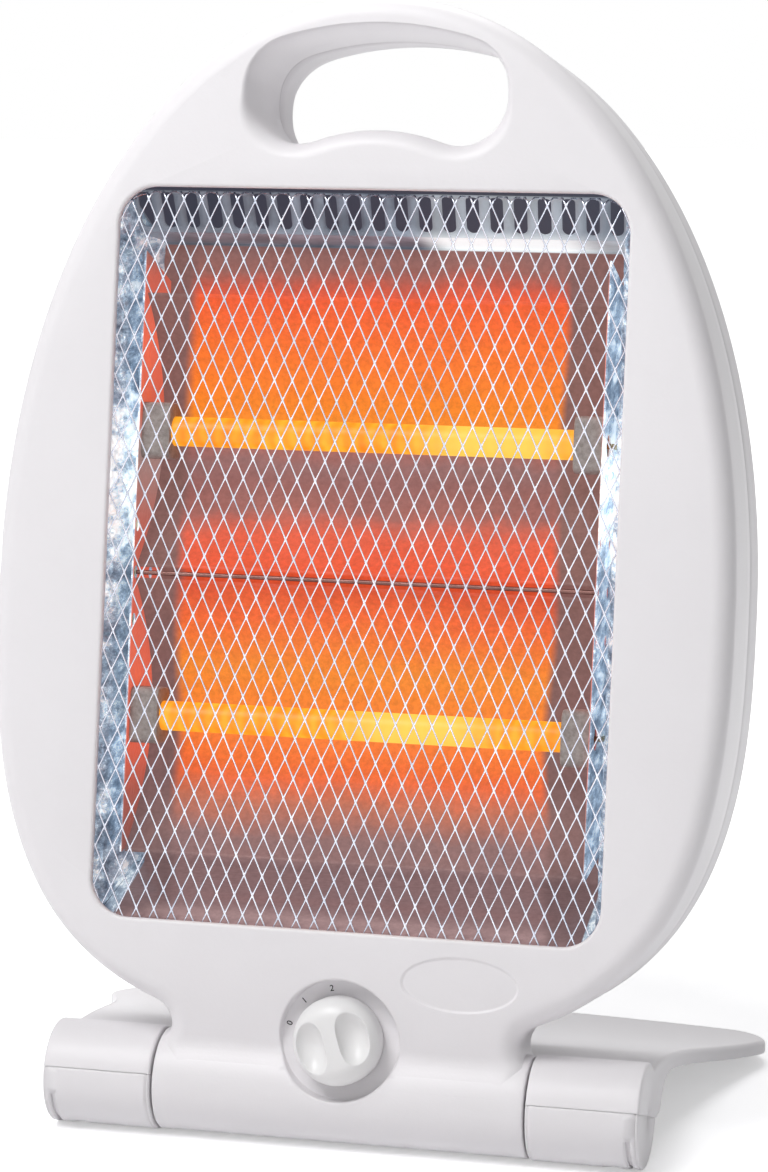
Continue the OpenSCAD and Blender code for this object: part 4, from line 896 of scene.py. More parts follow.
def holder(mid, side):
    """Fired block: a rounded rectangle carried along X, its ends drawn in over a small round."""
    skin = Skin()
    wide, high, closed = 13, 19, 6.45
    rows = []
    for x, cut in ((TUBE_FREE, closed), (TUBE_FREE, 0.8), (TUBE_FREE + 0.25, 0.25),
                   (TUBE_FREE + 0.8, 0), (74, 0), (TROUGH_END, 0), (TROUGH_END, closed)):
        w, h = wide - 2 * cut, high - 2 * min(cut, 6.4)
        loop = round_rectangle(TUBE_Y - w / 2, mid - h / 2, w, h, min(2.5, w / 2 - 0.01), 6)
        rows.append(xyz(side * x, *loop.T))
    return skin.grid(rows, around=True, away=(side * 74, TUBE_Y, mid))


SLOTS, SLOT_STEP, SLOT_W, ROD_R = 10, 8.1, 4.6, 0.75


def tray():
    """Pressed sheet tray: four walls that draw in from the mouth to the floor, the top wall with
    a row of round-ended slots, and a flat floor."""
    skin = Skin()
    front, back, mid = -12.5, 16.2, MID_Z
    mouth, base = (85.2, 120.7), (82.4, 106.9)
    lip, fold = 4.2, 6.6

    # top wall from its flared lip over the slotted apron to the level strip, along its own length
    path = np.array([[front - 1.5, mouth[1] + 0.6], [front, mouth[1]],
                     [front + fold, base[1] + 1.6], [back, base[1]]])
    run = np.concatenate([[0], np.cumsum(np.hypot(*np.diff(path, axis=0).T))])
    low, high = run[0] + 0.4, run[2] - 1.6
    slots = [round_rectangle(x - SLOT_W / 2, low, SLOT_W, high - low, 2.25, 8)
             for x in np.arange(-SLOTS, SLOTS + 1) * SLOT_STEP]
    box = even_steps(np.array([[-mouth[0], 0], [mouth[0], 0], [mouth[0], run[3]],
                               [-mouth[0], run[3]]]), 2, closed=True)
    grid = lattice(np.arange(-84, 85, 2.0), [*run[1:3], *(run[2] + [-1.2, -0.6, 0.6, 1.2])])
    flat, tris = filled(box, slots, [grid])
    y, h = (np.interp(flat[:, 1], run, part) for part in path.T)
    draw = 1 - (1 - base[0] / mouth[0]) * (y - front) / (back - front)
    skin.add(xyz(flat[:, 0] * draw, y, mid + h), tris, along=(0, 0, -1))

    # lower wall, side walls and floor
    box = even_steps(np.array([[-mouth[0], front - lip], [mouth[0], front - lip], [base[0], back],
                               [-base[0], back]]), 2, closed=True)
    flat, tris = filled(box)
    h = mouth[1] + (base[1] - mouth[1]) * (flat[:, 1] - front) / (back - front)
    skin.add(xyz(*flat.T, mid - h), tris, along=(0, 0, 1))
    y, v = np.linspace(front, back, 8)[:, None], np.linspace(-1, 1, 60)[None]
    share = (y - front) / (back - front)
    for side in (-1, 1):
        x = side * (mouth[0] + (base[0] - mouth[0]) * share)
        h = mouth[1] + (base[1] - mouth[1]) * share
        skin.grid(xyz(x, y, mid + v * h), along=(-side, 0, 0))
    x = np.linspace(-base[0], base[0], 30)[:, None]
    return skin.grid(xyz(x, back, mid + v * base[1]), along=(0, -1, 0))


def wrinkles(u, v, seed):
    """Crumpled height, 0 to 1: ridges where slow waves of several sizes fold over each other."""
    rng = np.random.default_rng(seed)
    out = np.zeros(np.broadcast(u, v).shape)
    for size, share in ((17, 0.5), (8.5, 0.3), (4, 0.2)):
        a = rng.uniform(0, math.tau, 4)
        w = (np.sin(u / size * 2 + a[0] + 1.7 * np.sin(v / size + a[1]))
             + np.sin(v / size * 1.6 + a[2] + 1.4 * np.sin(u / size * 1.3 + a[3]))) / 2
        out += share * (1 - np.abs(w)) ** 1.5
    return out


FOIL_SEED, FOIL_HIGH, FOIL_EDGE = 5, 0.9, -17.2


def side_foil(side):
    """Thin crumpled sheet on the tray's side wall: the wall's plane pushed in by the wrinkles."""
    skin = Skin()
    y, z = np.linspace(FOIL_EDGE, 15.4, 48)[:, None], np.linspace(60, 297, 300)[None]
    share = (y + 12.5) / 29.5
    crumple = FOIL_HIGH * wrinkles(y * 2.4, z * 1.5, FOIL_SEED + side)
    crumple = crumple * smooth_step(y, FOIL_EDGE, -13)
    x = 84.9 - 2.8 * share + 2.4 * smooth_step(y, -12.5, -17) - crumple
    short = 1 - 13.8 * np.clip(share, 0, 1) / 121.5
    return skin.grid(xyz(side * x, y, MID_Z + (z - MID_Z) * short), along=(-side, 0, 0))


def guard_rod():
    """Thin straight rod along the middle of its CAD body, with flat ends."""
    skin = Skin()
    low, high = (np.array(corner) * 1000 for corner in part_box("guard_rod"))
    mid = (low + high) / 2
    t = circle(24)
    rows = [xyz(x, mid[1] + r * np.cos(t), mid[2] + r * np.sin(t))
            for x, r in ((low[0], POINT), (low[0], ROD_R), (high[0], ROD_R), (high[0], POINT))]
    return skin.grid(rows, around=True, away=mid)


def grommet():
    """Rubber ring of the supply inlet: its section, a collar on each side of the wall, turned
    round an axis along Y."""
    skin = Skin()
    t = circle(48)
    x, z = INLET
    path = [(2.2, 39.6), (2.2, 46.9), (2.6, 47.6), (3.4, 47.9), (6.4, 47.9), (7.2, 47.4),
            (7.5, 46.6), (7.5, 45.4), (7.2, 45.1), (4.9, 45.1), (4.9, 42.3), (6.6, 42.3), (6.6, 40),
            (6.2, 39.6), (2.2, 39.6)]
    return skin.grid([xyz(x + r * np.cos(t), y, z + r * np.sin(t)) for r, y in path], around=True,
                     away=(x, 43, z))


# ---- finishes --------------------------------------------------------------------------------


def linear(r, g, b):
    """A colour given in 0 to 255 screen values, as the shader wants it."""
    c = np.array([r, g, b]) / 255
    return (*np.where(c <= 0.04045, c / 12.92, ((c + 0.055) / 1.055) ** 2.4).tolist(), 1)


class Net:
    """Places nodes in one tree and joins each input to a value or to another node's output."""

    def __init__(self, tree):
        self.tree = tree

    def join(self, value, socket):
        if isinstance(value, bpy.types.NodeSocket):
            self.tree.links.new(value, socket)
        elif value is not None:
            socket.default_value = value

    def add(self, kind, values=(), **settings):
        node = self.tree.nodes.new("ShaderNode" + kind)
        for key, value in settings.items():
            setattr(node, key, value)
        for key, value in dict(values).items():
            self.join(value, node.inputs[key])
        return node

    def maths(self, operation, a, b=None):
        node = self.add("Math", operation=operation)
        for value, socket in zip((a, b), node.inputs):
            self.join(value, socket)
        return node.outputs[0]

    def plus(self, a, b):
        return self.maths("ADD", a, b)

    def minus(self, a, b):
        return self.maths("SUBTRACT", a, b)

    def times(self, a, b):
        return self.maths("MULTIPLY", a, b)

    def width(self, a):
        return self.maths("ABSOLUTE", a)

    def blend(self, share, a, b, how="MIX"):
        node = self.add("Mix", data_type="RGBA", blend_type=how)
        for value, socket in zip((share, a, b), (node.inputs[0], node.inputs[6], node.inputs[7])):
            self.join(value, socket)
        return node.outputs[2]

    def span(self, value, low, high, to_low=0.0, to_high=1.0, smooth=False):
        node = self.add("MapRange", {0: value, 1: low, 2: high, 3: to_low, 4: to_high})
        if smooth:
            node.interpolation_type = "SMOOTHSTEP"
        return node.outputs[0]

    def noise(self, vector, scale, detail=2.0, rough=0.5, warp=0.0):
        return self.add("TexNoise", {"Vector": vector, "Scale": scale, "Detail": detail,
                                     "Roughness": rough, "Distortion": warp}).outputs["Fac"]

    def turn(self, vector, turn=(0, 0, 0), scale=(1, 1, 1), shift=(0, 0, 0)):
        return self.add("Mapping", {"Vector": vector, "Rotation": turn, "Scale": scale,
                                    "Location": shift}).outputs[0]

    def ramp(self, value, stops):
        node = self.add("ValToRGB", {0: value})
        band = node.color_ramp
        while len(band.elements) < len(stops):
            band.elements.new(0.5)
        for element, (at, colour) in zip(band.elements, stops):
            element.position = at
            element.color = colour
        return node.outputs[0]


def effect(build, inputs, outputs):
    """A node group with a place and numbers as inputs, which carry their usual values."""
    kinds = {"Place": "Vector", "Normal": "Vector", "Colour": "Color"}
    tree = bpy.data.node_groups.new(build.__name__, "ShaderNodeTree")
    for way, labels in (("INPUT", ("Place", *inputs)), ("OUTPUT", outputs)):
        for label in labels:
            kind = "NodeSocket" + kinds.get(label, "Float")
            socket = tree.interface.new_socket(label, in_out=way, socket_type=kind)
            if way == "INPUT" and label in inputs:
                socket.default_value = inputs[label]
    net = Net(tree)
    come, go = tree.nodes.new("NodeGroupInput"), tree.nodes.new("NodeGroupOutput")
    for label, value in build(net, come.outputs).items():
        net.join(value, go.inputs[label])
    return tree


def moulded_surface(net, given):
    """Fine spark grain, slow sink marks and a few faint rubs of a moulded skin."""
    fine = net.noise(given["Place"], given["Grain"], 3, 0.6)
    slow = net.noise(given["Place"], 22, 2, 0.4)
    height = net.plus(net.times(fine, 0.25), net.times(slow, 1.0))
    bump = net.add("Bump", {"Strength": given["Depth"], "Distance": 0.0006, "Height": height})
    rub = net.noise(net.turn(given["Place"], (0.4, 0.9, 0.2), (1, 9, 1)), 60, 4, 0.65)
    rub = net.span(rub, 0.62, 0.72, 0, 1, True)
    tone = net.span(net.noise(given["Place"], 9, 3, 0.55), 0.3, 0.7)
    return {"Tone": tone, "Rub": rub, "Normal": bump.outputs[0]}


def rolled_surface(net, given):
    """Rolling lines of thin sheet with slow waves and small dents."""
    lines = net.noise(net.turn(given["Place"], (0, 0, 0), (1, 40, 40)), given["Lines"], 3, 0.6)
    dents = net.noise(given["Place"], 55, 3, 0.5, 0.8)
    height = net.plus(net.times(lines, 0.12), dents)
    bump = net.add("Bump", {"Strength": given["Depth"], "Distance": 0.0012, "Height": height})
    return {"Lines": lines, "Dents": dents, "Normal": bump.outputs[0]}


def crumpled_surface(net, given):
    """Sharp facets of crumpled foil: distances to cell borders of two sizes, warped by noise."""
    warp = net.add("TexNoise", {"Vector": given["Place"], "Scale": 60, "Detail": 2})
    place = net.add("VectorMath", {0: warp.outputs["Color"], 1: (0.012, 0.012, 0.012)},
                    operation="MULTIPLY").outputs[0]
    place = net.add("VectorMath", {0: place, 1: given["Place"]}, operation="ADD").outputs[0]
    big = net.add("TexVoronoi", {"Vector": place, "Scale": given["Folds"]}, feature="F1")
    small = net.add("TexVoronoi", {"Vector": place, "Scale": net.times(given["Folds"], 2.7)},
                    feature="F1")
    height = net.plus(big.outputs["Distance"],
                       net.times(small.outputs["Distance"], 0.4))
    bump = net.add("Bump", {"Strength": given["Depth"], "Distance": 0.004, "Height": height})
    return {"Folds": height, "Normal": bump.outputs[0]}


def speckled_surface(net, given):
    """Pores and light flecks of fired clay or filled resin."""
    fleck = net.noise(given["Place"], given["Size"], 4, 0.7)
    cell = net.add("TexVoronoi", {"Vector": given["Place"], "Scale": given["Size"]})
    height = net.plus(fleck, net.times(cell.outputs["Distance"], 0.4))
    bump = net.add("Bump", {"Strength": given["Depth"], "Distance": 0.0004, "Height": height})
    return {"Fleck": net.span(fleck, 0.35, 0.65), "Normal": bump.outputs[0]}


def painted_glow_bands(net, given):
    """Painted light: the glow that the tubes throw on the reflectors, painted as colour by place in the
    upright head, with a dimmer painted glow outside the lit field.
    Both sides of the lit field lie further to the left the deeper the sheet is."""
    x, y, z = head_place(net, given["Place"])
    cloud = net.noise(given["Place"], 60, 6, 0.68)
    slow = net.noise(given["Place"], 17, 2, 0.5)
    height = net.plus(z, net.times(net.minus(cloud, 0.5), 0.012))
    height = net.plus(height, net.times(net.minus(slow, 0.5), 0.010))
    at = net.span(height, 0.05, 0.3)
    bands = net.ramp(at, [(((h - 50) / 250), linear(*c)) for h, c in (
        (56, (132, 108, 110)), (84, (134, 104, 104)), (95, (186, 104, 78)), (104, (238, 104, 54)),
        (116, (250, 122, 44)), (140, (246, 138, 44)), (158, (242, 104, 50)), (170, (214, 78, 46)),
        (176, (238, 88, 50)), (187, (226, 90, 60)), (195, (152, 92, 86)), (210, (142, 104, 104)),
        (216, (160, 98, 92)), (224, (250, 140, 30)), (240, (252, 124, 34)), (256, (248, 104, 40)),
        (267, (240, 88, 46)), (272, (196, 86, 66)), (277, (152, 98, 90)), (286, (134, 100, 98)))])
    left = net.plus(net.times(y, -0.27), -0.0655)
    right = net.plus(net.times(y, -0.26), 0.0644)
    edge = net.plus(x, net.times(net.minus(slow, 0.5), 0.008))
    from_left = net.span(net.minus(edge, left), -0.0025, 0.0025, 0, 1, True)
    from_right = net.span(net.minus(right, edge), -0.0015, 0.0025, 0, 1, True)
    lit = net.times(from_left, from_right)
    outer = net.ramp(at, [(0.0, linear(112, 92, 94)), (0.5, linear(126, 92, 88)),
                          (1.0, linear(128, 92, 88))])
    grain = net.span(net.noise(given["Place"], 520, 3, 0.7), 0.3, 0.7, 0.84, 1.14)
    tint = net.blend(1.0, net.blend(lit, outer, bands), net.add("CombineColor", {
        0: grain, 1: grain, 2: grain}).outputs[0], "MULTIPLY")
    return {"Colour": tint, "Lit": lit}


def foil_tones(net, given):
    """Thin crumpled foil with the tubes' light and the lamps' reflections painted in: blue-grey flats,
    painted bright creases across it, and painted white glints for where it faces the lamps, set by place,
    mostly beside the upper tube's lower edge."""
    x, y, z = head_place(net, given["Place"])
    shallow = net.add("VectorMath", {0: given["Place"], 1: (1.0, 0.4, 1.0)},
                      operation="MULTIPLY").outputs[0]
    flats = net.noise(shallow, 190, 5, 0.68)
    fold = net.noise(shallow, 420, 3, 0.6)
    # painted highlights: thin bright creases, and a brighter band of glints beside the upper tube's lower
    # edge
    crease = net.span(net.width(net.minus(fold, 0.5)), 0.02, 0.0, 0, 1)
    near = net.span(net.width(net.minus(z, 0.204)), 0.010, 0.036, 0.13, 0, True)
    tone = net.plus(net.plus(flats, near), net.times(crease, 0.10))
    colour = net.ramp(tone, [(0.34, linear(84, 98, 116)), (0.45, linear(124, 141, 160)),
                             (0.54, linear(160, 178, 196)), (0.61, linear(212, 226, 236)),
                             (0.66, linear(248, 252, 253))])
    return {"Colour": colour, "Fold": fold}


def head_place(net, place):
    """X, Y and Z of the upright head, in metres from the hinge axis, from the object's place."""
    moved = net.add("VectorMath", {0: place, 1: (0.0, -AXIS[1] / 1000, -AXIS[2] / 1000)},
                    operation="ADD").outputs[0]
    return net.add("SeparateXYZ", {0: net.turn(moved, (LEAN, 0, 0))}).outputs


EFFECTS = {key: effect(build, inputs, outputs) for key, build, inputs, outputs in (
    ("moulded", moulded_surface, {"Grain": 900.0, "Depth": 0.3}, ("Tone", "Rub", "Normal")),
    ("rolled", rolled_surface, {"Lines": 20.0, "Depth": 0.3}, ("Lines", "Dents", "Normal")),
    ("crumpled", crumpled_surface, {"Folds": 90.0, "Depth": 0.6}, ("Folds", "Normal")),
    ("speckled", speckled_surface, {"Size": 700.0, "Depth": 0.4}, ("Fleck", "Normal")),
    ("painted_glow", painted_glow_bands, {}, ("Colour", "Lit")),
    ("foil", foil_tones, {}, ("Colour", "Fold")),
)}


def finish(build):
    """Turns a function that fills a shader's sockets into one that makes a named material."""
    def make(name, *values, **settings):
        material = bpy.data.materials.new(name)
        material.use_nodes = True
        tree = material.node_tree
        tree.nodes.clear()
        net = Net(tree)
        shader = net.add("BsdfPrincipled")
        out = net.add("OutputMaterial")
        tree.links.new(shader.outputs[0], out.inputs[0])
        place = net.add("TexCoord").outputs["Object"]
        for key, value in build(net, place, *values, **settings).items():
            net.join(value, shader.inputs[key])
        material.diffuse_color = (0.8, 0.8, 0.8, 1)
        return material
    return make


def use(net, key, place, **values):
    """The outputs of a shared effect, its other inputs given by name."""
    node = net.add("Group", node_tree=EFFECTS[key])
    net.join(place, node.inputs["Place"])
    for label, value in values.items():
        net.join(value, node.inputs[label])
    return node.outputs


@finish
def moulded(net, place, light, dark, rough=0.42, grain=900.0, depth=0.22, glow=None):
    skin = use(net, "moulded", place, Grain=grain, Depth=depth)
    colour = net.blend(skin["Tone"], dark, light)
    sockets = {"Base Color": net.blend(net.times(skin["Rub"], 0.10), colour, dark),
               "Roughness": net.span(skin["Rub"], 0, 1, rough, rough + 0.12),
               "Normal": skin["Normal"], "IOR": 1.46}
    if glow:
        sockets |= {"Emission Color": glow, "Emission Strength": 1.0}
    return sockets


@finish
def metal(net, place, light, dark, rough=(0.2, 0.36), lines=20.0, depth=0.3):
    skin = use(net, "rolled", place, Lines=lines, Depth=depth)
    return {"Base Color": net.blend(net.span(skin["Dents"], 0.3, 0.7), dark, light),
            "Roughness": net.span(skin["Lines"], 0.3, 0.7, *rough),
            "Normal": skin["Normal"], "Metallic": 1.0}


@finish
def speckled(net, place, light, dark, rough=0.7, size=700.0, depth=0.4):
    skin = use(net, "speckled", place, Size=size, Depth=depth)
    return {"Base Color": net.blend(skin["Fleck"], dark, light),
            "Roughness": net.span(skin["Fleck"], 0, 1, rough + 0.08, rough - 0.08),
            "Normal": skin["Normal"]}


@finish
def glow_painted_sheet(net, place, light, dark, strength):
    """Reflector sheet with the tubes' glow painted on as bands of emitted light."""
    skin = use(net, "rolled", place, Lines=30.0, Depth=0.25)
    # painted light: the tubes' glow on the sheet, given off as emission
    painted_glow = use(net, "painted_glow", place)
    return {"Base Color": net.blend(net.span(skin["Dents"], 0.3, 0.7), dark, light),
            "Roughness": net.span(skin["Lines"], 0.3, 0.7, 0.45, 0.6), "Normal": skin["Normal"],
            "Metallic": 0.6, "Specular IOR Level": 0.3,
            "Emission Color": painted_glow["Colour"], "Emission Strength": strength}


@finish
def tray_finish(net, place, strength):
    """Floor and lower wall take the tubes' glow and the side walls the foil's tones, both as painted
    light; the slotted upper wall is sheet with painted light as well, with one painted highlight stretch
    that stands for a reflection of the light."""
    skin = use(net, "rolled", place, Lines=40.0, Depth=0.35)
    painted_glow = use(net, "painted_glow", place)
    x, y, z = head_place(net, place)
    top = net.span(z, 0.2840, 0.2844)
    foil = use(net, "foil", place)
    reach = net.span(x, -0.01, 0.01, 0.250, 0.400)
    beside = net.times(net.span(net.width(x), 0.0798, 0.0802),
                       net.maths("LESS_THAN", z, reach))
    sheet = net.blend(net.span(skin["Dents"], 0.35, 0.65), linear(70, 76, 84),
                      linear(110, 118, 128))
    # painted highlight: a white stretch of the upper wall, between these rows and on the lamp side,
    # stands for a reflection of the light
    strip = net.span(y, -0.0075, -0.0045, 0.25, 1, True)
    painted_highlight_span = net.times(net.span(x, 0.008, 0.022, 0, 1, True),
                          net.span(x, 0.076, 0.058, 0.3, 1, True))
    plain = net.blend(net.span(skin["Dents"], 0.35, 0.65), linear(78, 84, 96),
                      linear(112, 120, 134))
    # the upper wall's painted light is a touch darker and warmer towards the left
    plain = net.blend(net.span(x, -0.07, 0.02, 0.5, 0, True), plain, linear(88, 84, 88))
    plain = net.blend(net.times(painted_highlight_span, strip), plain, linear(246, 251, 253))
    glow = net.blend(beside, painted_glow["Colour"], foil["Colour"])
    # the whole tray gives off its colour as painted light
    return {"Base Color": net.blend(top, linear(70, 52, 50), sheet),
            "Roughness": net.span(skin["Lines"], 0.3, 0.7, 0.32, 0.5), "Normal": skin["Normal"],
            "Metallic": net.span(top, 0, 1, 0.5, 0.2), "Specular IOR Level": 0.3,
            "Emission Color": net.blend(top, glow, plain),
            "Emission Strength": strength}


@finish
def crumpled_foil(net, place):
    skin = use(net, "crumpled", place, Folds=160.0, Depth=0.8)
    foil = use(net, "foil", place)
    # the foil's colour, with its painted reflections and glints, is also given off as painted light
    return {"Base Color": foil["Colour"], "Roughness": net.span(foil["Fold"], 0.3, 0.7, 0.42, 0.26),
            "Normal": skin["Normal"], "Metallic": 0.3, "Emission Color": foil["Colour"],
            "Emission Strength": 0.45}


@finish
def end_plate_metal(net, place):
    """Inner face with the tubes' light painted on as glow, outer face crumpled sheet with the foil's
    painted tones, told apart by the width.
    """
    skin = use(net, "crumpled", place, Folds=80.0, Depth=0.5)
    painted_glow = use(net, "painted_glow", place)
    x = net.width(net.add("SeparateXYZ", {0: place}).outputs[0])
    inner = net.span(x, 0.0796, 0.0793)
    z = head_place(net, place)[2]
    # painted glow of the tubes on the inner face, set by height
    glow = net.ramp(net.span(z, 0.05, 0.3), [(((h - 50) / 250), linear(*c)) for h, c in (
        (70, (90, 60, 60)), (96, (150, 70, 60)), (112, (214, 84, 58)), (128, (190, 80, 60)),
        (136, (222, 92, 66)), (168, (196, 84, 66)), (184, (178, 80, 66)), (200, (150, 110, 106)),
        (214, (140, 126, 124)), (226, (200, 84, 62)), (250, (232, 96, 66)), (272, (190, 88, 70)),
        (280, (120, 88, 84)))])
    foil = use(net, "foil", place)
    return {"Base Color": net.blend(inner, foil["Colour"], linear(150, 120, 112)),
            "Roughness": net.span(foil["Fold"], 0.3, 0.7, 0.42, 0.28), "Normal": skin["Normal"],
            "Metallic": 0.3, "Emission Color": net.blend(inner, foil["Colour"], glow),
            "Emission Strength": net.span(inner, 0, 1, 0.5, 0.85)}


@finish
def glowing_tube(net, place, bright):
    """Frosted quartz over a hot winding: closely set turns, and one stretch that runs hotter."""
    parts = net.add("SeparateXYZ", {0: place}).outputs
    turns = net.add("TexWave", {"Vector": net.turn(place, (0, 0, 0.25)), "Scale": 62.0,
                                "Distortion": 1.2, "Detail": 1.0, "Detail Scale": 2.0},
                    bands_direction="X").outputs["Fac"]
    cloud = net.noise(place, 90, 3, 0.6)
    ends = net.span(net.width(parts[0]), 0.069, 0.0755, 0, 1, True)
    away = net.width(net.minus(parts[0], bright))
    hot = net.span(away, 0.034, 0.010, 0, 1, True)
    base = net.ramp(net.plus(net.times(cloud, 0.8),
                              net.times(turns, 0.2)),
                    [(0.25, linear(246, 134, 26)), (0.5, linear(250, 162, 32)),
                     (0.75, linear(253, 190, 52))])
    base = net.blend(net.times(hot, 0.8), base, linear(255, 222, 96))
    return {"Base Color": linear(120, 70, 30), "Roughness": net.span(cloud, 0.3, 0.7, 0.3, 0.45),
            "Emission Color": net.blend(ends, base, linear(170, 100, 66)),
            "Emission Strength": 0.95, "IOR": 1.46, "Specular IOR Level": 0.3}


@finish
def woven_sleeve(net, place, light, dark):
    """Glass-fibre sleeve: two crossing waves of thread."""
    threads = [net.add("TexWave", {"Vector": net.turn(place, way), "Scale": 420.0}).outputs["Fac"]
               for way in ((0, 0, 0.785), (0.785, 0, -0.785))]
    weave = net.maths("MAXIMUM", *threads)
    bump = net.add("Bump", {"Strength": 0.5, "Distance": 0.0004, "Height": weave})
    return {"Base Color": net.blend(weave, dark, light),
            "Roughness": net.span(weave, 0, 1, 0.9, 0.7), "Normal": bump.outputs[0]}


def seen_ray(net):
    """1 for what the camera sees, straight, in a reflection or through glass, and 0 for light."""
    ray = net.add("LightPath").outputs
    return net.maths("MAXIMUM", net.maths("MAXIMUM", ray["Is Camera Ray"], ray["Is Glossy Ray"]),
                     ray["Is Transmission Ray"])


@finish
def floor_finish(net, place):
    """Pale studio floor: it shows as white to the camera and in reflections, but keeps shadows."""
    grain = net.noise(place, 40, 3, 0.5)
    far = net.span(net.add("VectorMath", {0: place}, operation="LENGTH").outputs["Value"],
                   0.16, 0.42, 0.40, 0.97)
    return {"Base Color": net.blend(net.span(grain, 0.3, 0.7), linear(246, 246, 248),
                                    linear(252, 252, 253)),
            "Roughness": net.span(grain, 0.3, 0.7, 0.75, 0.9), "Specular IOR Level": 0.1,
            "Emission Color": (1, 1, 1, 1),
            "Emission Strength": net.times(seen_ray(net), far)}


WHITE = moulded("white_moulding", (0.82, 0.80, 0.82, 1), (0.785, 0.765, 0.785, 1))
# painted shade: a slightly darker and rougher copy of the same white moulding for the rear shell
PAINTED_SHADE_WHITE_REAR = moulded("white_moulding_rear_painted_shade", (0.79, 0.77, 0.79, 1), (0.755, 0.735, 0.755, 1),
                     0.46)
# painted shade: dark grey for the inner side of the mouldings' walls, with a faint painted bluish glow
PAINTED_SHADE_INSIDE = moulded("painted_shade_moulding", (0.16, 0.165, 0.18, 1), (0.13, 0.135, 0.15, 1), 0.7,
                 glow=linear(50, 54, 66))
WHITE_FOOT = moulded("white_moulding_foot", (0.82, 0.80, 0.82, 1), (0.785, 0.765, 0.785, 1))
KNOB_WHITE = moulded("knob_moulding", (0.84, 0.835, 0.835, 1), (0.80, 0.795, 0.80, 1), 0.3,
                     1400.0, 0.1)
INK = speckled("number_ink", linear(44, 42, 44), linear(30, 28, 30), 0.6, 2000.0, 0.1)
CHROME = metal("plated_wire", linear(228, 231, 240), linear(194, 200, 214), (0.2, 0.34), 60.0, 0.1)
SHEET = metal("plain_sheet", linear(206, 212, 220), linear(160, 168, 178), (0.3, 0.5), 24.0, 0.4)
TRAY = tray_finish("tray_sheet", 0.9)
# guard rod tinted reddish brown: painted reflection of the tubes' glow
ROD = metal("painted_glow_rod", linear(140, 104, 98), linear(104, 78, 74), (0.4, 0.55), 60.0, 0.1)
# foil that gives off its colour as painted light of the tubes and lamps
FOIL = crumpled_foil("side_foil")
# reflector sheet with the tubes' glow painted on as emission
PAINTED_GLOW_SHEET = glow_painted_sheet("painted_glow_reflector", linear(74, 54, 50), linear(54, 42, 40), 0.95)
PLATE = end_plate_metal("end_plate_sheet")
TUBES = {"upper": glowing_tube("glowing_quartz_upper", 0.042),
         "lower": glowing_tube("glowing_quartz_lower", 0.020)}
CERAMIC = speckled("fired_block", linear(168, 160, 156), linear(140, 132, 128), 0.75, 500.0, 0.3)
STEEL = metal("zinc_steel", linear(186, 188, 192), linear(150, 152, 156), (0.26, 0.42), 60.0)
BRASS = metal("plated_brass", linear(206, 178, 110), linear(170, 140, 84), (0.26, 0.42), 60.0)
WIRE = metal("resistance_wire", linear(214, 140, 90), linear(120, 84, 66), (0.4, 0.6), 80.0)
NYLON = speckled("natural_nylon", linear(236, 232, 216), linear(222, 216, 198), 0.5, 900.0, 0.15)
RESIN = speckled("dark_resin", linear(74, 58, 50), linear(44, 34, 30), 0.5, 600.0, 0.3)
RUBBER = speckled("black_rubber", linear(44, 44, 46), linear(30, 30, 31), 0.82, 1100.0, 0.4)
SLEEVE = woven_sleeve("woven_sleeve", linear(206, 192, 160), linear(150, 134, 104))
LEAD = speckled("grey_lead", linear(146, 150, 156), linear(120, 124, 130), 0.5, 1200.0, 0.1)

# ---- assembly --------------------------------------------------------------------------------

piece("front_moulding", front_shell(), in_head, "head", WHITE, ("front_shell",), 2,
      inner=PAINTED_SHADE_INSIDE)
piece("rear_moulding", rear_shell(), in_head, "head", PAINTED_SHADE_WHITE_REAR, ("rear_shell",),
      2, inner=PAINTED_SHADE_INSIDE)
piece("foot_plate", foot_plate(), in_foot, "foot", WHITE_FOOT, ("foot_base",))
piece("foot_barrels", barrel_ends(20 + PARTING_GAP, 200 - PARTING_GAP), in_foot, "foot", WHITE_FOOT,
      ("foot_base",), 2)
piece("foot_web", foot_web(), in_foot, "foot", WHITE_FOOT, ("foot_base",))
piece("foot_ribs", foot_ribs(), in_foot, "foot", WHITE_FOOT, ("foot_base",))
for label, side in (("left", -1), ("right", 1)):
    piece(label + "_barrel_cover", end_cover(side), in_foot, "foot", WHITE_FOOT,
          (label + "_cover",), 2)
    piece(label + "_foil", side_foil(side), in_head, "head", FOIL,
          wall=0.05)
piece("finger_knob", knob_cap(), on_dial, "knob", KNOB_WHITE, ("knob",), 1.6)
piece("net", front_net(), in_head, "head", CHROME, ("grille",), crease=80)
for label, mid in TUBE_ZS.items():
    piece(label + "_trough", trough(mid), in_head, "head", PAINTED_GLOW_SHEET, (label + "_reflector",),
          0.5)
    piece(label + "_quartz", quartz(mid), in_head, "head", TUBES[label], (label + "_tube",),
          crease=60)
    for name, side in (("left", -1), ("right", 1)):
        piece(f"{label}_{name}_block", holder(mid, side), in_head, "head", CERAMIC,
              (f"{label}_{name}_holder",))
piece("sheet_tray", tray(), in_head, "head", TRAY, ("reflector_tray",), 0.6)
piece("mid_rod", guard_rod(), lambda p: p / 1000, "head", ROD, ("guard_rod",))
piece("inlet_ring", grommet(), in_head, "head", RUBBER, ("inlet_grommet",))
for text, angle in (("0", 74), ("1", 44), ("2", 10)):
    mesh = dial_number(text, angle)
    mesh.materials.append(INK)
    mark = bpy.data.objects.new("dial_" + text, mesh)
    bpy.context.scene.collection.objects.link(mark)
    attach(mark, "head")

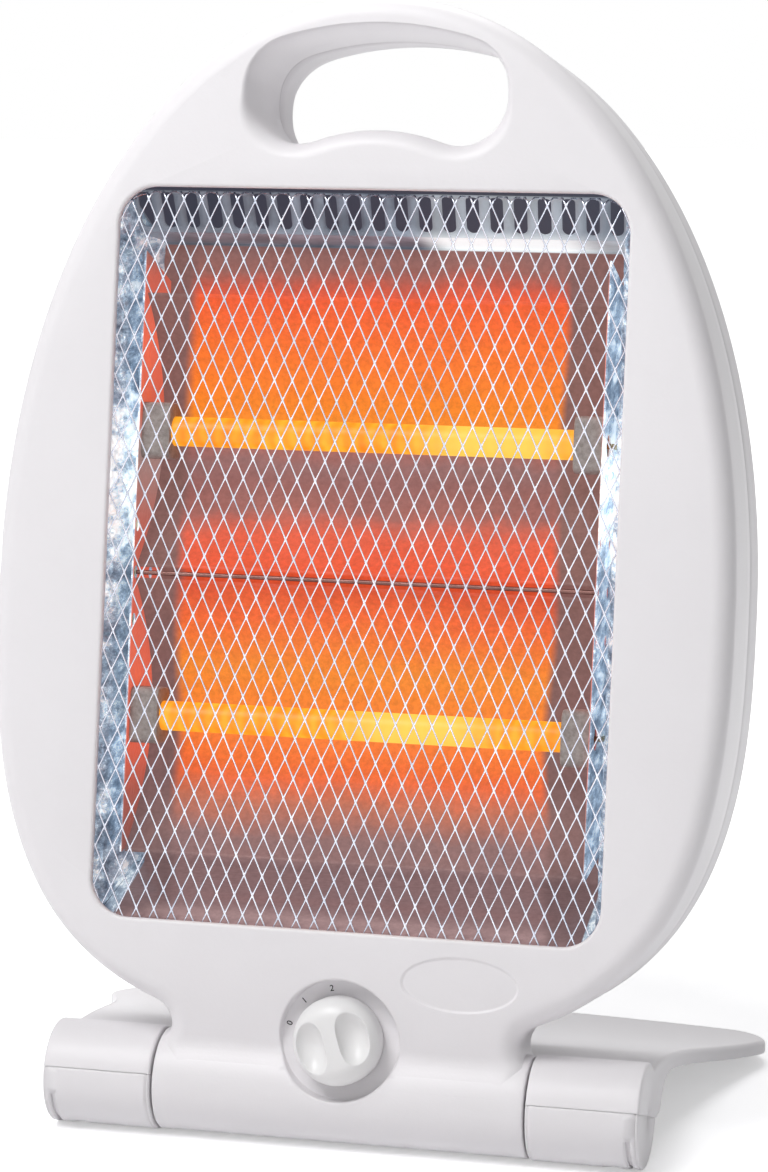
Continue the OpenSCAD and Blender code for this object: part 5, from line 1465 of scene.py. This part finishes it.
KEPT = {
    SHEET: ("heat_shield",),
    PLATE: ("left_end_plate", "right_end_plate"),
    STEEL: ("plate_rivets", "shield_screws", "thermal_cutout", "switch_screws", "shell_screws",
            "tray_screws", "hinge_tube", "left_spring_washer", "right_spring_washer",
            "cover_screws"),
    BRASS: ("switch_nut", "switch_shaft"),
    WIRE: ("upper_winding", "lower_winding"),
    NYLON: ("terminal_block", "left_bush", "right_bush"),
    RESIN: ("rotary_switch", "tip_switch"),
    RUBBER: ("foot_pads",),
    SLEEVE: ("tube_leads",),
    LEAD: ("supply_leads",),
}
for material, names in KEPT.items():
    for name in names:
        nodes[name].data.materials.clear()
        nodes[name].data.materials.append(material)

# ---- floor, lamps and world ------------------------------------------------------------------

mesh = bpy.data.meshes.new("floor")
mesh.from_pydata([(-6, -6, 0), (6, -6, 0), (6, 6, 0), (-6, 6, 0)], [], [(0, 1, 2, 3)])
mesh.materials.append(floor_finish("pale_floor"))
floor = bpy.data.objects.new("floor", mesh)
bpy.context.scene.collection.objects.link(floor)


def lamp(name, place, aim, size, power):
    """A round lamp turned towards the place it lights."""
    data = bpy.data.lights.new(name, "AREA")
    data.shape, data.size, data.energy = "DISK", size, power
    obj = bpy.data.objects.new(name, data)
    obj.location = place
    obj.rotation_euler = (Vector(place) - Vector(aim)).to_track_quat("Z", "Y").to_euler()
    bpy.context.scene.collection.objects.link(obj)


lamp("key", (-0.45, -0.72, 1.22), (0, 0, 0.2), 0.8, 12.3)
lamp("fill", (-0.1, -2.6, 0.9), (0, 0, 0.18), 1.8, 4)
lamp("top", (-0.1, 0.9, 2.0), (0, 0.02, 0.1), 1.2, 15)

WORLD_LIGHT, WORLD_SEEN = 0.265, 1.0
world = bpy.data.worlds.new("studio")
world.use_nodes = True
world.node_tree.nodes.clear()
net = Net(world.node_tree)
back = net.add("Background", {"Color": (1, 1, 1, 1),
                              "Strength": net.span(seen_ray(net), 0, 1, WORLD_LIGHT, WORLD_SEEN)})
net.tree.links.new(back.outputs[0], net.add("OutputWorld").inputs[0])
bpy.context.scene.world = world
bpy.context.scene.view_settings.view_transform = "Standard"
